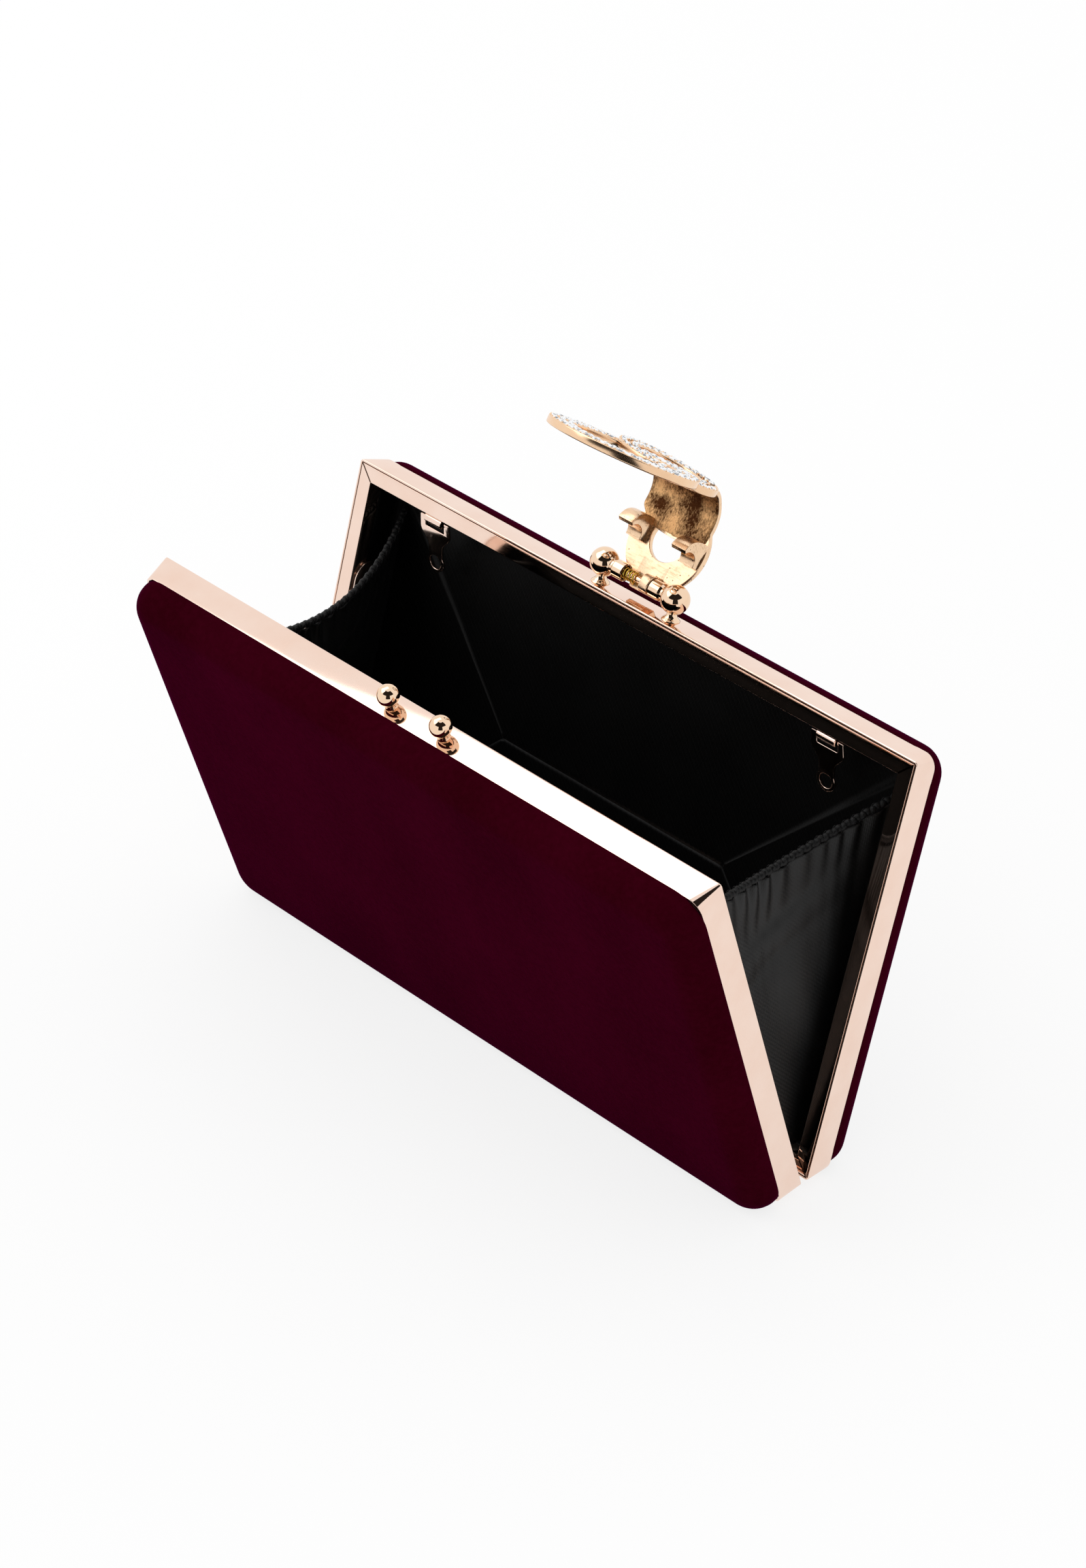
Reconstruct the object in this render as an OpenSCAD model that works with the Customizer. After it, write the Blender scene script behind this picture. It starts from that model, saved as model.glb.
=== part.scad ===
// Hard-framed evening clutch bag, standing open on its hinged bottom edge.
// Two mirrored halves lean apart, each a polished metal frame round a velvet-covered shell.
// X runs along the case, -Y is the front, +Z is up, and the bag stands on z = 0.

/* [Case] */
// Length of one half's frame
case_w = 180; // [150:1:230]
// Height of one half's frame
case_h = 107; // [92:1:140]
// Lean of each half from upright while the case stands open
half_lean = 16.5; // [12:0.5:20]
// Gap left between the two rims when the case is shut
rim_gap = 1.2; // [0.8:0.1:2]

/* [Frame] */
// Depth of the polished outer band
band_d = 7.1; // [6.5:0.1:9]
// Thickness of the frame's sheet metal
sheet_t = 0.7; // [0.5:0.05:0.9]
// Width of the flat rim
rim_w = 4.7; // [4:0.1:6]
// Depth of the lip that turns in from the rim's inner edge
lip_d = 4.1; // [3:0.1:5]
// Corner radius of the frame at the rim
rim_corner_r = 0.9; // [0.8:0.1:2]
// Corner radius of the frame where it meets the velvet
band_corner_r = 3.5; // [2.5:0.1:5]
// Width of the groove round the rim
groove_w = 0.3; // [0.2:0.05:0.5]
// Depth of that groove and of the mitre lines
groove_depth = 0.25; // [0.1:0.05:0.4]

/* [Shell] */
// How far the covered shell stands behind the band
shell_d = 7.7; // [7:0.1:14]
// How far the velvet stands out past the band
cover_over = 0.8; // [0.4:0.1:1.2]
// Radius of the velvet face's edge
shell_edge_r = 6.7; // [5:0.1:7.5]
// Corner radius of the velvet face
shell_corner_r = 8; // [7.6:0.1:16]
// Thickness of the velvet
cover_t = 0.8; // [0.5:0.1:1.2]
// Thickness of the foam under the velvet
foam_t = 0.8; // [0.4:0.1:1.2]
// Thickness of the stiff board
board_t = 1.2; // [0.8:0.1:1.6]
// Thickness of the satin lining
lining_t = 0.4; // [0.3:0.05:0.6]

/* [Hinge] */
// Length of one hinge
hinge_len = 12; // [9:0.5:20]
// Distance of each hinge's middle from the frame's end
hinge_inset = 12; // [9:0.5:40]
// Radius of the hinge pin
pin_r = 0.55; // [0.4:0.05:0.6]
// Outer radius of the hinge knuckles
knuckle_r = 1.1; // [1:0.05:1.2]
// Thickness of the hinge leaves
leaf_t = 0.5; // [0.3:0.05:0.6]

/* [Studs and clasp] */
// Radius of the two catch balls on the front half
front_ball_r = 2.7; // [2:0.1:2.9]
// Height of their middle above the front band
front_ball_h = 3.3; // [3:0.1:4]
// Distance between the catch balls
catch_span = 17; // [15:0.5:18]
// Radius of the two pivot balls on the rear half
rear_ball_r = 3.25; // [2.6:0.05:3.5]
// Height of the clasp's pivot line above the rear band
rear_ball_h = 5.1; // [4.9:0.1:6]
// Distance between the pivot balls
pivot_span = 22.8; // [21.5:0.1:28]
// Outer radius of the barrels that carry the axle
barrel_r = 2.2; // [2.1:0.05:2.3]
// Angle of the open clasp behind the rear half's own line
clasp_open_angle = 27; // [15:1:40]
// Radius of the crescent plate
crescent_r = 11.3; // [10.8:0.1:13]
// Radius of the hole in the crescent plate
crescent_hole_r = 5.2; // [4:0.1:5.6]
// Thickness of the crescent plate
plate_t = 1.6; // [1.2:0.1:2]
// Width of each hook
hook_w = 4.5; // [3:0.1:5]
// Outer radius of the large ornament ring
ring_a_r = 18.7; // [18:0.1:21]
// Outer radius of the small ornament ring
ring_b_r = 13; // [12.6:0.1:14]
// Width of the large ring's band
ring_a_band = 6.3; // [6:0.1:7]
// Width of the small ring's band
ring_b_band = 5; // [4.6:0.1:5.4]
// Thickness of both rings
ring_t = 1.8; // [1.4:0.1:2.2]
// Girdle radius of one stone
stone_r = 0.95; // [0.7:0.05:0.96]

/* [Strap clips] */
// Distance of each strap clip from the frame's end
clip_inset = 26.2; // [24:0.2:40]
// Length of a clip plate from its pivot to the middle of its eye
clip_drop = 11.8; // [11:0.1:14]
// Radius of the hole in a clip's eye
eye_r = 1.9; // [1.4:0.1:2.1]

/* [Gussets] */
// How far the gussets fold inwards at their top
gusset_fold = 10; // [6:0.5:14]
// Height of the middle of the gusset's top edge
gusset_mid_z = 81; // [70:1:84]
// Distance of the gusset's top corners below the frame's top
gusset_top_drop = 12.5; // [10:0.5:20]
// Thickness of the gathered satin
gusset_t = 0.8; // [0.6:0.1:1]
// Radius of the elastic edge
elastic_r = 1; // [0.7:0.1:1.2]

/* [Stay] */
// Height of the stay's pivot on the rear half
stay_v = 73; // [68:1:74]
// Length of the stay bar between its ends' centres
stay_len = 47; // [44:0.5:47]
// Width of the stay bar
stay_w = 4.6; // [4:0.1:4.8]
// Thickness of the stay bar and of its bracket
stay_t = 0.8; // [0.6:0.05:0.9]

/* [Hidden] */
$fn = 64;

// Overrun of every cut
cut = 1;
// Thickness of the slices that a blended form is drawn between
slice = 0.01;
// Gap between soft pieces and what they lie beside
soft_gap = 0.3;
// Radial clearance of a pin in its bore
pin_clear = 0.05;
// Clearance between parts that swing past each other
swing_gap = 0.2;

// Colours
rose_gold = [0.93, 0.79, 0.70];
warm_gold = [0.88, 0.66, 0.42];
brass_yellow = [0.80, 0.65, 0.20];
velvet_red = [0.28, 0.02, 0.09];
foam_grey = [0.75, 0.74, 0.70];
board_brown = [0.55, 0.45, 0.33];
satin_black = [0.06, 0.06, 0.06];
stone_clear = [0.92, 0.95, 1.0];

// One half: sizes that follow from the driving ones
half_w = case_w / 2;
inner_w = half_w - rim_w;
half_d = band_d + shell_d;
board_inset = cover_t + foam_t;
board_tuck = band_d / 4;
lining_depth = half_d - board_inset - board_t;
lining_corner_r = 3;
lining_edge_r = 2;
groove_inset = 0.55;
pin_drop = knuckle_r;

// Where the halves stand: the hinge pin's height puts the velvet's lower edge on the floor
sin_lean = sin(half_lean);
cos_lean = cos(half_lean);
edge_v = shell_edge_r - cover_over + pin_drop;
edge_w = half_d - shell_edge_r + rim_gap / 2;
hinge_z = shell_edge_r - edge_v * cos_lean + edge_w * sin_lean;

// World y and z, from the hinge pin, of a point at height v and depth w in a half
function lean_y(v, w) = (v + pin_drop) * sin_lean + (w + rim_gap / 2) * cos_lean;
function lean_z(v, w) = (v + pin_drop) * cos_lean - (w + rim_gap / 2) * sin_lean;

// Clasp: its own frame has x along the axle, y up the crescent plate and z towards the front
clasp_lean = half_lean + clasp_open_angle;
clasp_shut_rise = 3;
barrel_gap = 8.6;
barrel_wall = 0.5;
axle_r = 0.75;
plate_gap = 0.3;
plate_s = -barrel_r - plate_gap;
crescent_rise = 10.4;
crescent_hole_rise = 11.4;
hook_t = 1;
hook_under = 30;
catch_t = (band_d + rim_gap) * cos(clasp_shut_rise) - (rear_ball_h - front_ball_h) * sin(clasp_shut_rise);
catch_s = (band_d + rim_gap) * sin(clasp_shut_rise) + (rear_ball_h - front_ball_h) * cos(clasp_shut_rise);
hook_r = front_ball_r + swing_gap;
arch_r = 8;
arch_t = 1.6;
arch_w = 21;
arch_s = plate_s - plate_t / 2 + arch_r;
ornament_reach = 26.6;
ornament_lean = 8.2;
ring_a_q = 25.8;
ring_a_rows = 3;
ring_b_rows = 2;
ring_step = 18;
ring_b_q = ring_a_q - ring_step;
ring_b_twist = 5;
stone_table_r = 0.5;
stone_h = 0.6;
stone_space = 2.1;
spring_wire_r = 0.25;
spring_r = 1.25;
spring_pitch = 1;
knuckle_left = 0.6;
spring_ball_gap = 0.65;
spring_knuckle_gap = 0.5;
spring_start = pivot_span / 2 - rear_ball_r - spring_ball_gap;
spring_turns = (spring_start - knuckle_left - spring_knuckle_gap) / spring_pitch;
spring_leg = 0.8;

// Pivot line of the clasp, from the hinge pin
pivot_y = lean_y(case_h + rear_ball_h, band_d / 2);
pivot_z = lean_z(case_h + rear_ball_h, band_d / 2);

// The origin lies under the middle of the whole bag: the velvet sets its front and ring B its back
front_reach = lean_y(case_h + cover_over - shell_edge_r, half_d - shell_edge_r) + shell_edge_r;
ring_b_t = ornament_reach - (ring_b_q - ring_b_r) * sin(ornament_lean);
ring_b_s = arch_s + (ring_b_q - ring_b_r) * cos(ornament_lean);
ring_normal = clasp_lean - ornament_lean;
clasp_reach = ring_b_t * sin(clasp_lean) - ring_b_s * cos(clasp_lean) + ring_t / 2 * sin(ring_normal);
shift_y = (front_reach - pivot_y - clasp_reach) / 2;

// Strap clips
clip_span = case_w - 2 * clip_inset;
tab_len = 5.5;
tab_t = 0.45;
tab_r = 1.25;
tab_w = 1.8;
tab_v = case_h - rim_w - tab_r;
tab_slit = 50;
clip_t = 0.7;
clip_w = 9.9;
clip_neck_w = 4.6;
clip_side = 1.8;
clip_slot_h = 2.2;
clip_shoulder = 3.8;
clip_taper = 3;
eye_rim = 0.85;

// Gussets: edge corners in a half's own v and w
gusset_x = inner_w - stay_t * 3 - soft_gap;
gusset_w = lining_depth - lining_t - soft_gap;
gusset_low_v = rim_w + soft_gap * 3;
gusset_low_rise = 1;
gusset_low_z = lean_z(rim_w, 0) + gusset_low_rise;
gusset_columns = 12;
gusset_rows = 6;
elastic_sides = 8;

// Stay
stay_pivot_w = 5.6;
stay_pin_r = 0.7;
stay_head_r = 1.6;
stay_head_t = 0.4;
stay_droop = 7.7;
stay_eye_r = 0.75;
stay_gap = 0.1;

// Placing

// Takes a half that lies on its rim, with v along y and depth along z, to the open front half
module front_place() {
    translate([0, shift_y, hinge_z])
        rotate([half_lean, 0, 0])
            translate([0, -rim_gap / 2, pin_drop])
                rotate([90, 0, 0])
                    children();
}

// The rear half is the front one mirrored
module rear_place() {
    translate([0, shift_y, 0])
        mirror([0, 1, 0])
            translate([0, -shift_y, 0])
                front_place()
                    children();
}

// Takes the clasp's own frame to its place on the pivot line
module clasp_place() {
    translate([0, shift_y + pivot_y, hinge_z + pivot_z])
        rotate([90 - clasp_lean, 0, 0])
            children();
}

// Takes a ring's own frame, with z out of the set face, to the ornament's plane
module ornament_place() {
    clasp_place()
        translate([0, ornament_reach, arch_s])
            rotate([90 + ornament_lean, 0, 0])
                rotate([0, 180, 0])
                    children();
}

// Extrudes an outline of the clasp's y and z along x
module side_extrude(width) {
    rotate([90, 0, 90])
        translate([0, 0, -width / 2])
            linear_extrude(width)
                children();
}

// Frame

// Thin rounded rectangle that stands on y = inset
module slab(inset, r, z) {
    for (sx = [-1, 1], v = [inset + r, case_h - inset - r]) {
        translate([sx * (half_w - inset - r), v, z])
            cylinder(r = r, h = slice, $fn = 32);
    }
}

// Solid whose corners go from a sharp rim to a round back edge
module band_form(inset, z0, z1) {
    hull() {
        slab(inset, rim_corner_r - inset, z0);
        slab(inset, band_corner_r - inset, z1 - slice);
    }
}

module centred_box(inset, z0, z1) {
    translate([-half_w + inset, inset, z0])
        cube([case_w - 2 * inset, case_h - 2 * inset, z1 - z0]);
}

module frame_grooves() {
    difference() {
        centred_box(groove_inset, -cut, groove_depth);
        centred_box(groove_inset + groove_w, -2 * cut, groove_depth + cut);
    }
    for (sx = [-1, 1], top = [0, 1]) {
        translate([sx * half_w, top * case_h, 0])
            rotate([0, 0, 45 * sx * (top * 2 - 1)])
                translate([-groove_w / 4, -2 * rim_w, -cut])
                    cube([groove_w / 2, 4 * rim_w, cut + groove_depth]);
    }
}

// Holes through the top band for two studs
module stud_holes(span) {
    for (sx = [-1, 1]) {
        translate([sx * span / 2, case_h - sheet_t - cut, band_d / 2])
            rotate([-90, 0, 0])
                cylinder(r = shank_r + pin_clear, h = sheet_t + 2 * cut);
    }
}

module frame_half(span) {
    color(rose_gold)
        difference() {
            union() {
                difference() {
                    band_form(0, 0, band_d);
                    band_form(sheet_t, sheet_t, band_d + cut);
                }
                centred_box(rim_w - sheet_t, 0, lip_d);
            }
            centred_box(rim_w, -cut, band_d + cut);
            frame_grooves();
            stud_holes(span);
        }
}

// Shell layers

// Half section of a shell's solid form: x runs out from the corner's centre, y is depth
module edge_section(r, edge_r, depth, front) {
    translate([0, front])
        square([r - edge_r, depth - front]);
    translate([0, front])
        square([r, depth - edge_r - front]);
    translate([r - edge_r, depth - edge_r])
        intersection() {
            circle(edge_r);
            square(edge_r);
        }
}

// Section of the wall: it starts at the corner's centre, where the flat floor ends
module wall_section(r, edge_r, depth, t, front) {
    difference() {
        edge_section(r, edge_r, depth, front);
        translate([-cut, 0])
            edge_section(r - t + cut, edge_r - t, depth - t, front - cut);
    }
}

// Tray with a round outer edge: hw is its half length, v0 and v1 its low and high sides
module tray(hw, v0, v1, r, edge_r, depth, t, front) {
    run_x = 2 * (hw - r);
    run_v = v1 - v0 - 2 * r;
    translate([0, v0 + r, 0]) {
        translate([-run_x / 2, 0, depth - t])
            cube([run_x, run_v, t]);
        for (sx = [0, 1], low = [0, 1]) {
            mirror([sx, 0, 0])
                translate([run_x / 2, (1 - low) * run_v, 0])
                    mirror([0, low, 0])
                        rotate_extrude(angle = 90)
                            wall_section(r, edge_r, depth, t, front);
        }
        for (sx = [0, 1]) {
            mirror([sx, 0, 0])
                translate([run_x / 2, run_v, 0])
                    rotate([90, 0, 0])
                        linear_extrude(run_v)
                            wall_section(r, edge_r, depth, t, front);
        }
        for (low = [0, 1]) {
            translate([-run_x / 2, (1 - low) * run_v, 0])
                mirror([0, low, 0])
                    rotate([90, 0, 90])
                        linear_extrude(run_x)
                            wall_section(r, edge_r, depth, t, front);
        }
    }
}

// Layer of the covered shell that lies inset inside the velvet's outer surface
module shell_layer(inset, t, front) {
    out = cover_over - inset;
    tray(half_w + out, -out, case_h + out, shell_corner_r - inset, shell_edge_r - inset,
         half_d - inset, t, front);
}

module velvet_half() {
    color(velvet_red)
        shell_layer(0, cover_t, band_d);
}

module foam_half() {
    color(foam_grey)
        shell_layer(cover_t, foam_t, band_d);
}

module board_half() {
    color(board_brown)
        shell_layer(board_inset, board_t, band_d - board_tuck);
}

module lining_half() {
    out = sheet_t - rim_w;
    color(satin_black)
        tray(half_w + out, -out, case_h + out, lining_corner_r, lining_edge_r,
             lining_depth, lining_t, lip_d);
}

// Hinges, drawn under the lower band of a half; each knuckle turns on the hinge pin

knuckle_axial_gap = 0.2;
middle_share = 0.4;
middle_len = hinge_len * middle_share;
outer_len = (hinge_len - middle_len) / 2 - knuckle_axial_gap;
leaf_len = band_d - rim_gap;
leaf_start = knuckle_r + swing_gap - rim_gap / 2;

module knuckle(x0, len) {
    translate([x0, -pin_drop, -rim_gap / 2])
        rotate([0, 90, 0])
            cylinder(r = knuckle_r, h = len);
    translate([x0, -leaf_t, -rim_gap / 2])
        cube([len, leaf_t, leaf_start + rim_gap / 2 + slice]);
}

module hinge_leaf(sx, starts, len) {
    translate([sx * (half_w - hinge_inset), 0, 0])
        color(rose_gold)
            difference() {
                union() {
                    translate([-hinge_len / 2, -leaf_t, leaf_start])
                        cube([hinge_len, leaf_t, leaf_len - leaf_start]);
                    for (x0 = starts) {
                        knuckle(x0, len);
                    }
                }
                translate([-hinge_len, -pin_drop, -rim_gap / 2])
                    rotate([0, 90, 0])
                        cylinder(r = pin_r + pin_clear, h = 2 * hinge_len);
            }
}

module rear_leaf(sx) {
    rear_place()
        hinge_leaf(sx, [-hinge_len / 2, hinge_len / 2 - outer_len], outer_len);
}

module front_leaf(sx) {
    front_place()
        hinge_leaf(sx, [-middle_len / 2], middle_len);
}

module hinge_pin(sx) {
    color(rose_gold)
        translate([sx * (half_w - hinge_inset) - hinge_len / 2, shift_y, hinge_z])
            rotate([0, 90, 0])
                cylinder(r = pin_r, h = hinge_len);
}

// Studs, drawn standing on the outside of the top band at z = 0

shank_r = 0.9;
rivet_r = 1.4;
rivet_t = 0.5;
foot_r = 2.3;
foot_t = 0.45;
neck_r = 1.15;

module stud(ball_r, ball_h) {
    neck_h = ball_h - sqrt(ball_r * ball_r - neck_r * neck_r);
    rotate_extrude()
        polygon([[0, -sheet_t - rivet_t], [rivet_r, -sheet_t - rivet_t], [rivet_r, -sheet_t],
                 [shank_r, -sheet_t], [shank_r, 0], [foot_r, 0], [foot_r, foot_t / 2],
                 [(foot_r + neck_r) / 2, foot_t], [neck_r, max(neck_h, foot_t) + foot_t / 2],
                 [0, ball_h]]);
    translate([0, 0, ball_h])
        sphere(ball_r);
}

module stud_place(x) {
    translate([x, case_h, band_d / 2])
        rotate([-90, 0, 0])
            children();
}

module front_stud(sx) {
    front_place()
        color(warm_gold)
            stud_place(sx * catch_span / 2)
                stud(front_ball_r, front_ball_h);
}

// The left pivot ball's barrel is bored out for the spring
module rear_stud(sx) {
    barrel_len = pivot_span / 2 - barrel_gap / 2;
    barrel_bore = sx < 0 ? barrel_r - barrel_wall : axle_r + pin_clear;
    rear_place()
        color(warm_gold)
            stud_place(sx * pivot_span / 2)
                difference() {
                    union() {
                        stud(rear_ball_r, rear_ball_h);
                        translate([0, 0, rear_ball_h])
                            rotate([0, -90 * sx, 0])
                                cylinder(r = barrel_r, h = barrel_len);
                    }
                    translate([0, 0, rear_ball_h])
                        rotate([0, -90 * sx, 0]) {
                            cylinder(r = axle_r + pin_clear, h = barrel_len + cut);
                            translate([0, 0, rear_ball_r])
                                cylinder(r = barrel_bore, h = barrel_len);
                        }
                }
}

// Clasp

module clasp_axle() {
    clasp_place()
        color(warm_gold)
            translate([-pivot_span / 2, 0, 0])
                rotate([0, 90, 0])
                    cylinder(r = axle_r, h = pivot_span);
}

module crescent() {
    translate([0, 0, plate_s - plate_t])
        linear_extrude(plate_t)
            difference() {
                union() {
                    translate([0, crescent_rise])
                        circle(crescent_r);
                    translate([-barrel_gap / 2 + swing_gap, -barrel_r])
                        square([barrel_gap - 2 * swing_gap, crescent_rise]);
                    translate([-arch_w / 2, ornament_reach - arch_r - arch_lap])
                        square([arch_w, arch_lap]);
                }
                translate([0, crescent_hole_rise])
                    circle(crescent_hole_r);
            }
}

arch_lap = 1.8;

module clasp_knuckle() {
    len = barrel_gap / 2 - swing_gap + knuckle_left;
    translate([-knuckle_left, 0, 0])
        rotate([0, 90, 0])
            cylinder(r = barrel_r, h = len);
    translate([-knuckle_left, -barrel_r, plate_s])
        cube([len, 2 * barrel_r, -plate_s]);
}

module hook(x) {
    translate([x, catch_t, catch_s])
        side_extrude(hook_w)
            difference() {
                union() {
                    translate([0, plate_s - catch_s])
                        square([hook_r + hook_t, catch_s - plate_s]);
                    intersection() {
                        circle(hook_r + hook_t);
                        polygon([[0, 0], [2 * hook_r, 0],
                                 [2 * hook_r, 2 * hook_r * tan(hook_under)]]);
                    }
                }
                circle(hook_r);
            }
}

module arch() {
    translate([0, ornament_reach - arch_r, arch_s])
        side_extrude(arch_w)
            intersection() {
                difference() {
                    circle(arch_r + arch_t / 2);
                    circle(arch_r - arch_t / 2);
                }
                translate([0, -2 * arch_r])
                    square([2 * arch_r, 2 * arch_r + arch_t]);
            }
}

module flat_ring(r, band) {
    translate([0, 0, -ring_t / 2])
        difference() {
            cylinder(r = r, h = ring_t);
            translate([0, 0, -cut])
                cylinder(r = r - band, h = ring_t + 2 * cut);
        }
}

module ring_b_place() {
    translate([0, ring_b_q, 0])
        rotate([0, -ring_b_twist, 0])
            children();
}

module clasp_body() {
    color(warm_gold) {
        difference() {
            clasp_place() {
                crescent();
                clasp_knuckle();
                for (sx = [-1, 1]) {
                    hook(sx * catch_span / 2);
                }
                arch();
            }
            clasp_place()
                translate([-barrel_gap, 0, 0])
                    rotate([0, 90, 0])
                        cylinder(r = axle_r + pin_clear, h = 2 * barrel_gap);
        }
        ornament_place() {
            translate([0, ring_a_q, 0])
                flat_ring(ring_a_r, ring_a_band);
            ring_b_place()
                flat_ring(ring_b_r, ring_b_band);
        }
    }
}

module stone() {
    translate([0, 0, ring_t / 2])
        cylinder(r1 = stone_r, r2 = stone_table_r, h = stone_h, $fn = 24);
}

// True where a stone at x, y would lie under the other ring's band
function under_band(x, y, dy, r, band) =
    let (d = norm([x, y - dy])) d < r + stone_r && d > r - band - stone_r;

// True where a stone at x, y on the small ring would lie in the arch's end, on the side that the twist lowers
function in_arch(x, y) =
    x < -stone_r && -x < arch_w / 2 + stone_r && abs(y + ring_b_q) < arch_t + stone_r;

// Rows of stones round a ring, left out where the other ring crosses over on one side, and in the arch's end
module stones(r, band, rows, other_dy, other_r, other_band, side) {
    row_step = (band - 2 * stone_r) / max(rows - 1, 1);
    for (row = [0 : rows - 1]) {
        row_r = r - band + stone_r + row * row_step;
        count = floor(360 / (2 * asin(stone_space / 2 / row_r)));
        for (i = [0 : count - 1]) {
            a = 360 * (i + row / 2) / count;
            p = [row_r * cos(a), row_r * sin(a)];
            over = p[0] * side < 0 || !under_band(p[0], p[1], other_dy, other_r, other_band);
            if (over && (side > 0 || !in_arch(p[0], p[1]))) {
                translate(p)
                    stone();
            }
        }
    }
}

module stones_large_ring() {
    ornament_place()
        color(stone_clear)
            translate([0, ring_a_q, 0])
                stones(ring_a_r - ring_edge, ring_a_band - 2 * ring_edge, ring_a_rows,
                       -ring_step, ring_b_r, ring_b_band, 1);
}

module stones_small_ring() {
    ornament_place()
        color(stone_clear)
            ring_b_place()
                stones(ring_b_r - ring_edge, ring_b_band - 2 * ring_edge, ring_b_rows,
                       ring_step, ring_a_r, ring_a_band, -1);
}

ring_edge = 0.15;

// Rings of points along a path, joined into one closed tube
function tube_faces(rings, sides) = concat(
    [[for (j = [sides - 1 : -1 : 0]) j]],
    [for (i = [0 : rings - 2], j = [0 : sides - 1])
        let (a = i * sides + j, b = i * sides + (j + 1) % sides) [a, b, b + sides]],
    [for (i = [0 : rings - 2], j = [0 : sides - 1])
        let (a = i * sides + j, b = i * sides + (j + 1) % sides) [a, b + sides, a + sides]],
    [[for (j = [0 : sides - 1]) (rings - 1) * sides + j]]);

// Torsion spring: a helix round the axle, with a straight leg at each end
spring_steps = 8;
spring_sides = 6;
spring_rings = floor(spring_turns * spring_steps) + 1;
function spring_angle(i) = 360 * min(max(i, 0), spring_rings - 1) / spring_steps;
function spring_off(i) = i < 0 ? -spring_leg : i > spring_rings - 1 ? spring_leg : 0;
function spring_centre(i) =
    let (a = spring_angle(i), k = min(max(i, 0), spring_rings - 1))
    [-spring_start + spring_pitch * k / spring_steps,
     spring_r * cos(a) - spring_off(i) * sin(a),
     spring_r * sin(a) + spring_off(i) * cos(a)];
spring_path = [for (i = [-1 : spring_rings]) spring_centre(i)];
spring_points = [for (i = [-1 : spring_rings], j = [0 : spring_sides - 1])
    let (a = spring_angle(i), b = 360 * j / spring_sides)
    spring_centre(i) + spring_wire_r * [-sin(b), cos(b) * cos(a), cos(b) * sin(a)]];
spring_gap = min([for (i = [0 : spring_rings - 1], j = [i + spring_steps / 2 : spring_rings - 1])
    norm(spring_path[j] - spring_path[i])]) - 2 * spring_wire_r;
echo(str("clasp spring: least gap between turns ", spring_gap, " mm"));
echo(str("hinge pin y ", shift_y, " z ", hinge_z, "; clasp pivot y ", shift_y + pivot_y, " z ", hinge_z + pivot_z));

module clasp_spring() {
    clasp_place()
        color(brass_yellow)
            polyhedron(spring_points, tube_faces(spring_rings + 2, spring_sides));
}

// Strap clips: a rolled tab under the rear half's top lip, and a stamped plate that hangs in it

module clip_tab(sx) {
    rear_place()
        color(warm_gold)
            translate([sx * clip_span / 2, tab_v, tab_w])
                rotate([0, 90, 0])
                    translate([0, 0, -tab_len / 2])
                        linear_extrude(tab_len) {
                            difference() {
                                circle(tab_r);
                                circle(tab_r - tab_t);
                                polygon([[0, 0], [-2 * tab_r, 0],
                                         [-2 * tab_r, 2 * tab_r * tan(tab_slit)]]);
                            }
                            translate([tab_w - lip_d, tab_r - tab_t])
                                square([lip_d - tab_w, tab_t]);
                        }
}

// Pivot of the clips, from the hinge pin
clip_y = lean_y(tab_v, tab_w);
clip_z = lean_z(tab_v, tab_w);
echo(str("clip pivot y ", shift_y + clip_y, " z ", hinge_z + clip_z));

module clip_plate(sx) {
    slot_top = -clip_t / 2;
    color(warm_gold)
        translate([sx * clip_span / 2, shift_y + clip_y + clip_t / 2, hinge_z + clip_z])
            rotate([90, 0, 0])
                difference() {
                    union() {
                        linear_extrude(clip_t)
                            polygon([[-clip_w / 2, clip_t / 2], [clip_w / 2, clip_t / 2],
                                     [clip_w / 2, -clip_shoulder],
                                     [clip_neck_w / 2, -clip_shoulder - clip_taper],
                                     [clip_neck_w / 2, -clip_drop], [-clip_neck_w / 2, -clip_drop],
                                     [-clip_neck_w / 2, -clip_shoulder - clip_taper],
                                     [-clip_w / 2, -clip_shoulder]]);
                        translate([0, -clip_drop, 0])
                            cylinder(r = eye_r + eye_rim, h = clip_t);
                    }
                    translate([0, -clip_drop, -cut])
                        cylinder(r = eye_r, h = clip_t + 2 * cut);
                    translate([-clip_w / 2 + clip_side, slot_top - clip_slot_h, -cut])
                        cube([clip_w - 2 * clip_side, clip_slot_h, clip_t + 2 * cut]);
                }
}

// Stay on the left side: a bracket on the rear lip and a bar that turns on its pin

bracket_low = 6;
bracket_heel = 0.8;
bracket_front_top = 5;
bracket_bend_top = 7.7;
bracket_bend_w = 2.6;
bracket_back_top = 8.4;
bracket_back_w = 5.5;
bracket_back = stay_pivot_w + stay_head_r + soft_gap;

module stay_bracket() {
    rear_place()
        color(rose_gold)
            translate([-inner_w, stay_v, 0]) {
                rotate([90, 0, 90])
                    linear_extrude(stay_t)
                        polygon([[-bracket_low, bracket_heel], [bracket_front_top, bracket_heel],
                                 [bracket_bend_top, bracket_bend_w],
                                 [bracket_back_top, bracket_back_w],
                                 [bracket_front_top, bracket_back], [-bracket_low, bracket_back]]);
                translate([0, 0, stay_pivot_w])
                    rotate([0, 90, 0])
                        cylinder(r = stay_pin_r, h = stay_pin_len);
                translate([stay_pin_len - stay_head_t, 0, stay_pivot_w])
                    rotate([0, 90, 0])
                        cylinder(r = stay_head_r, h = stay_head_t);
            }
}

stay_pin_len = 2 * stay_t + 2 * stay_gap + stay_head_t;

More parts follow.
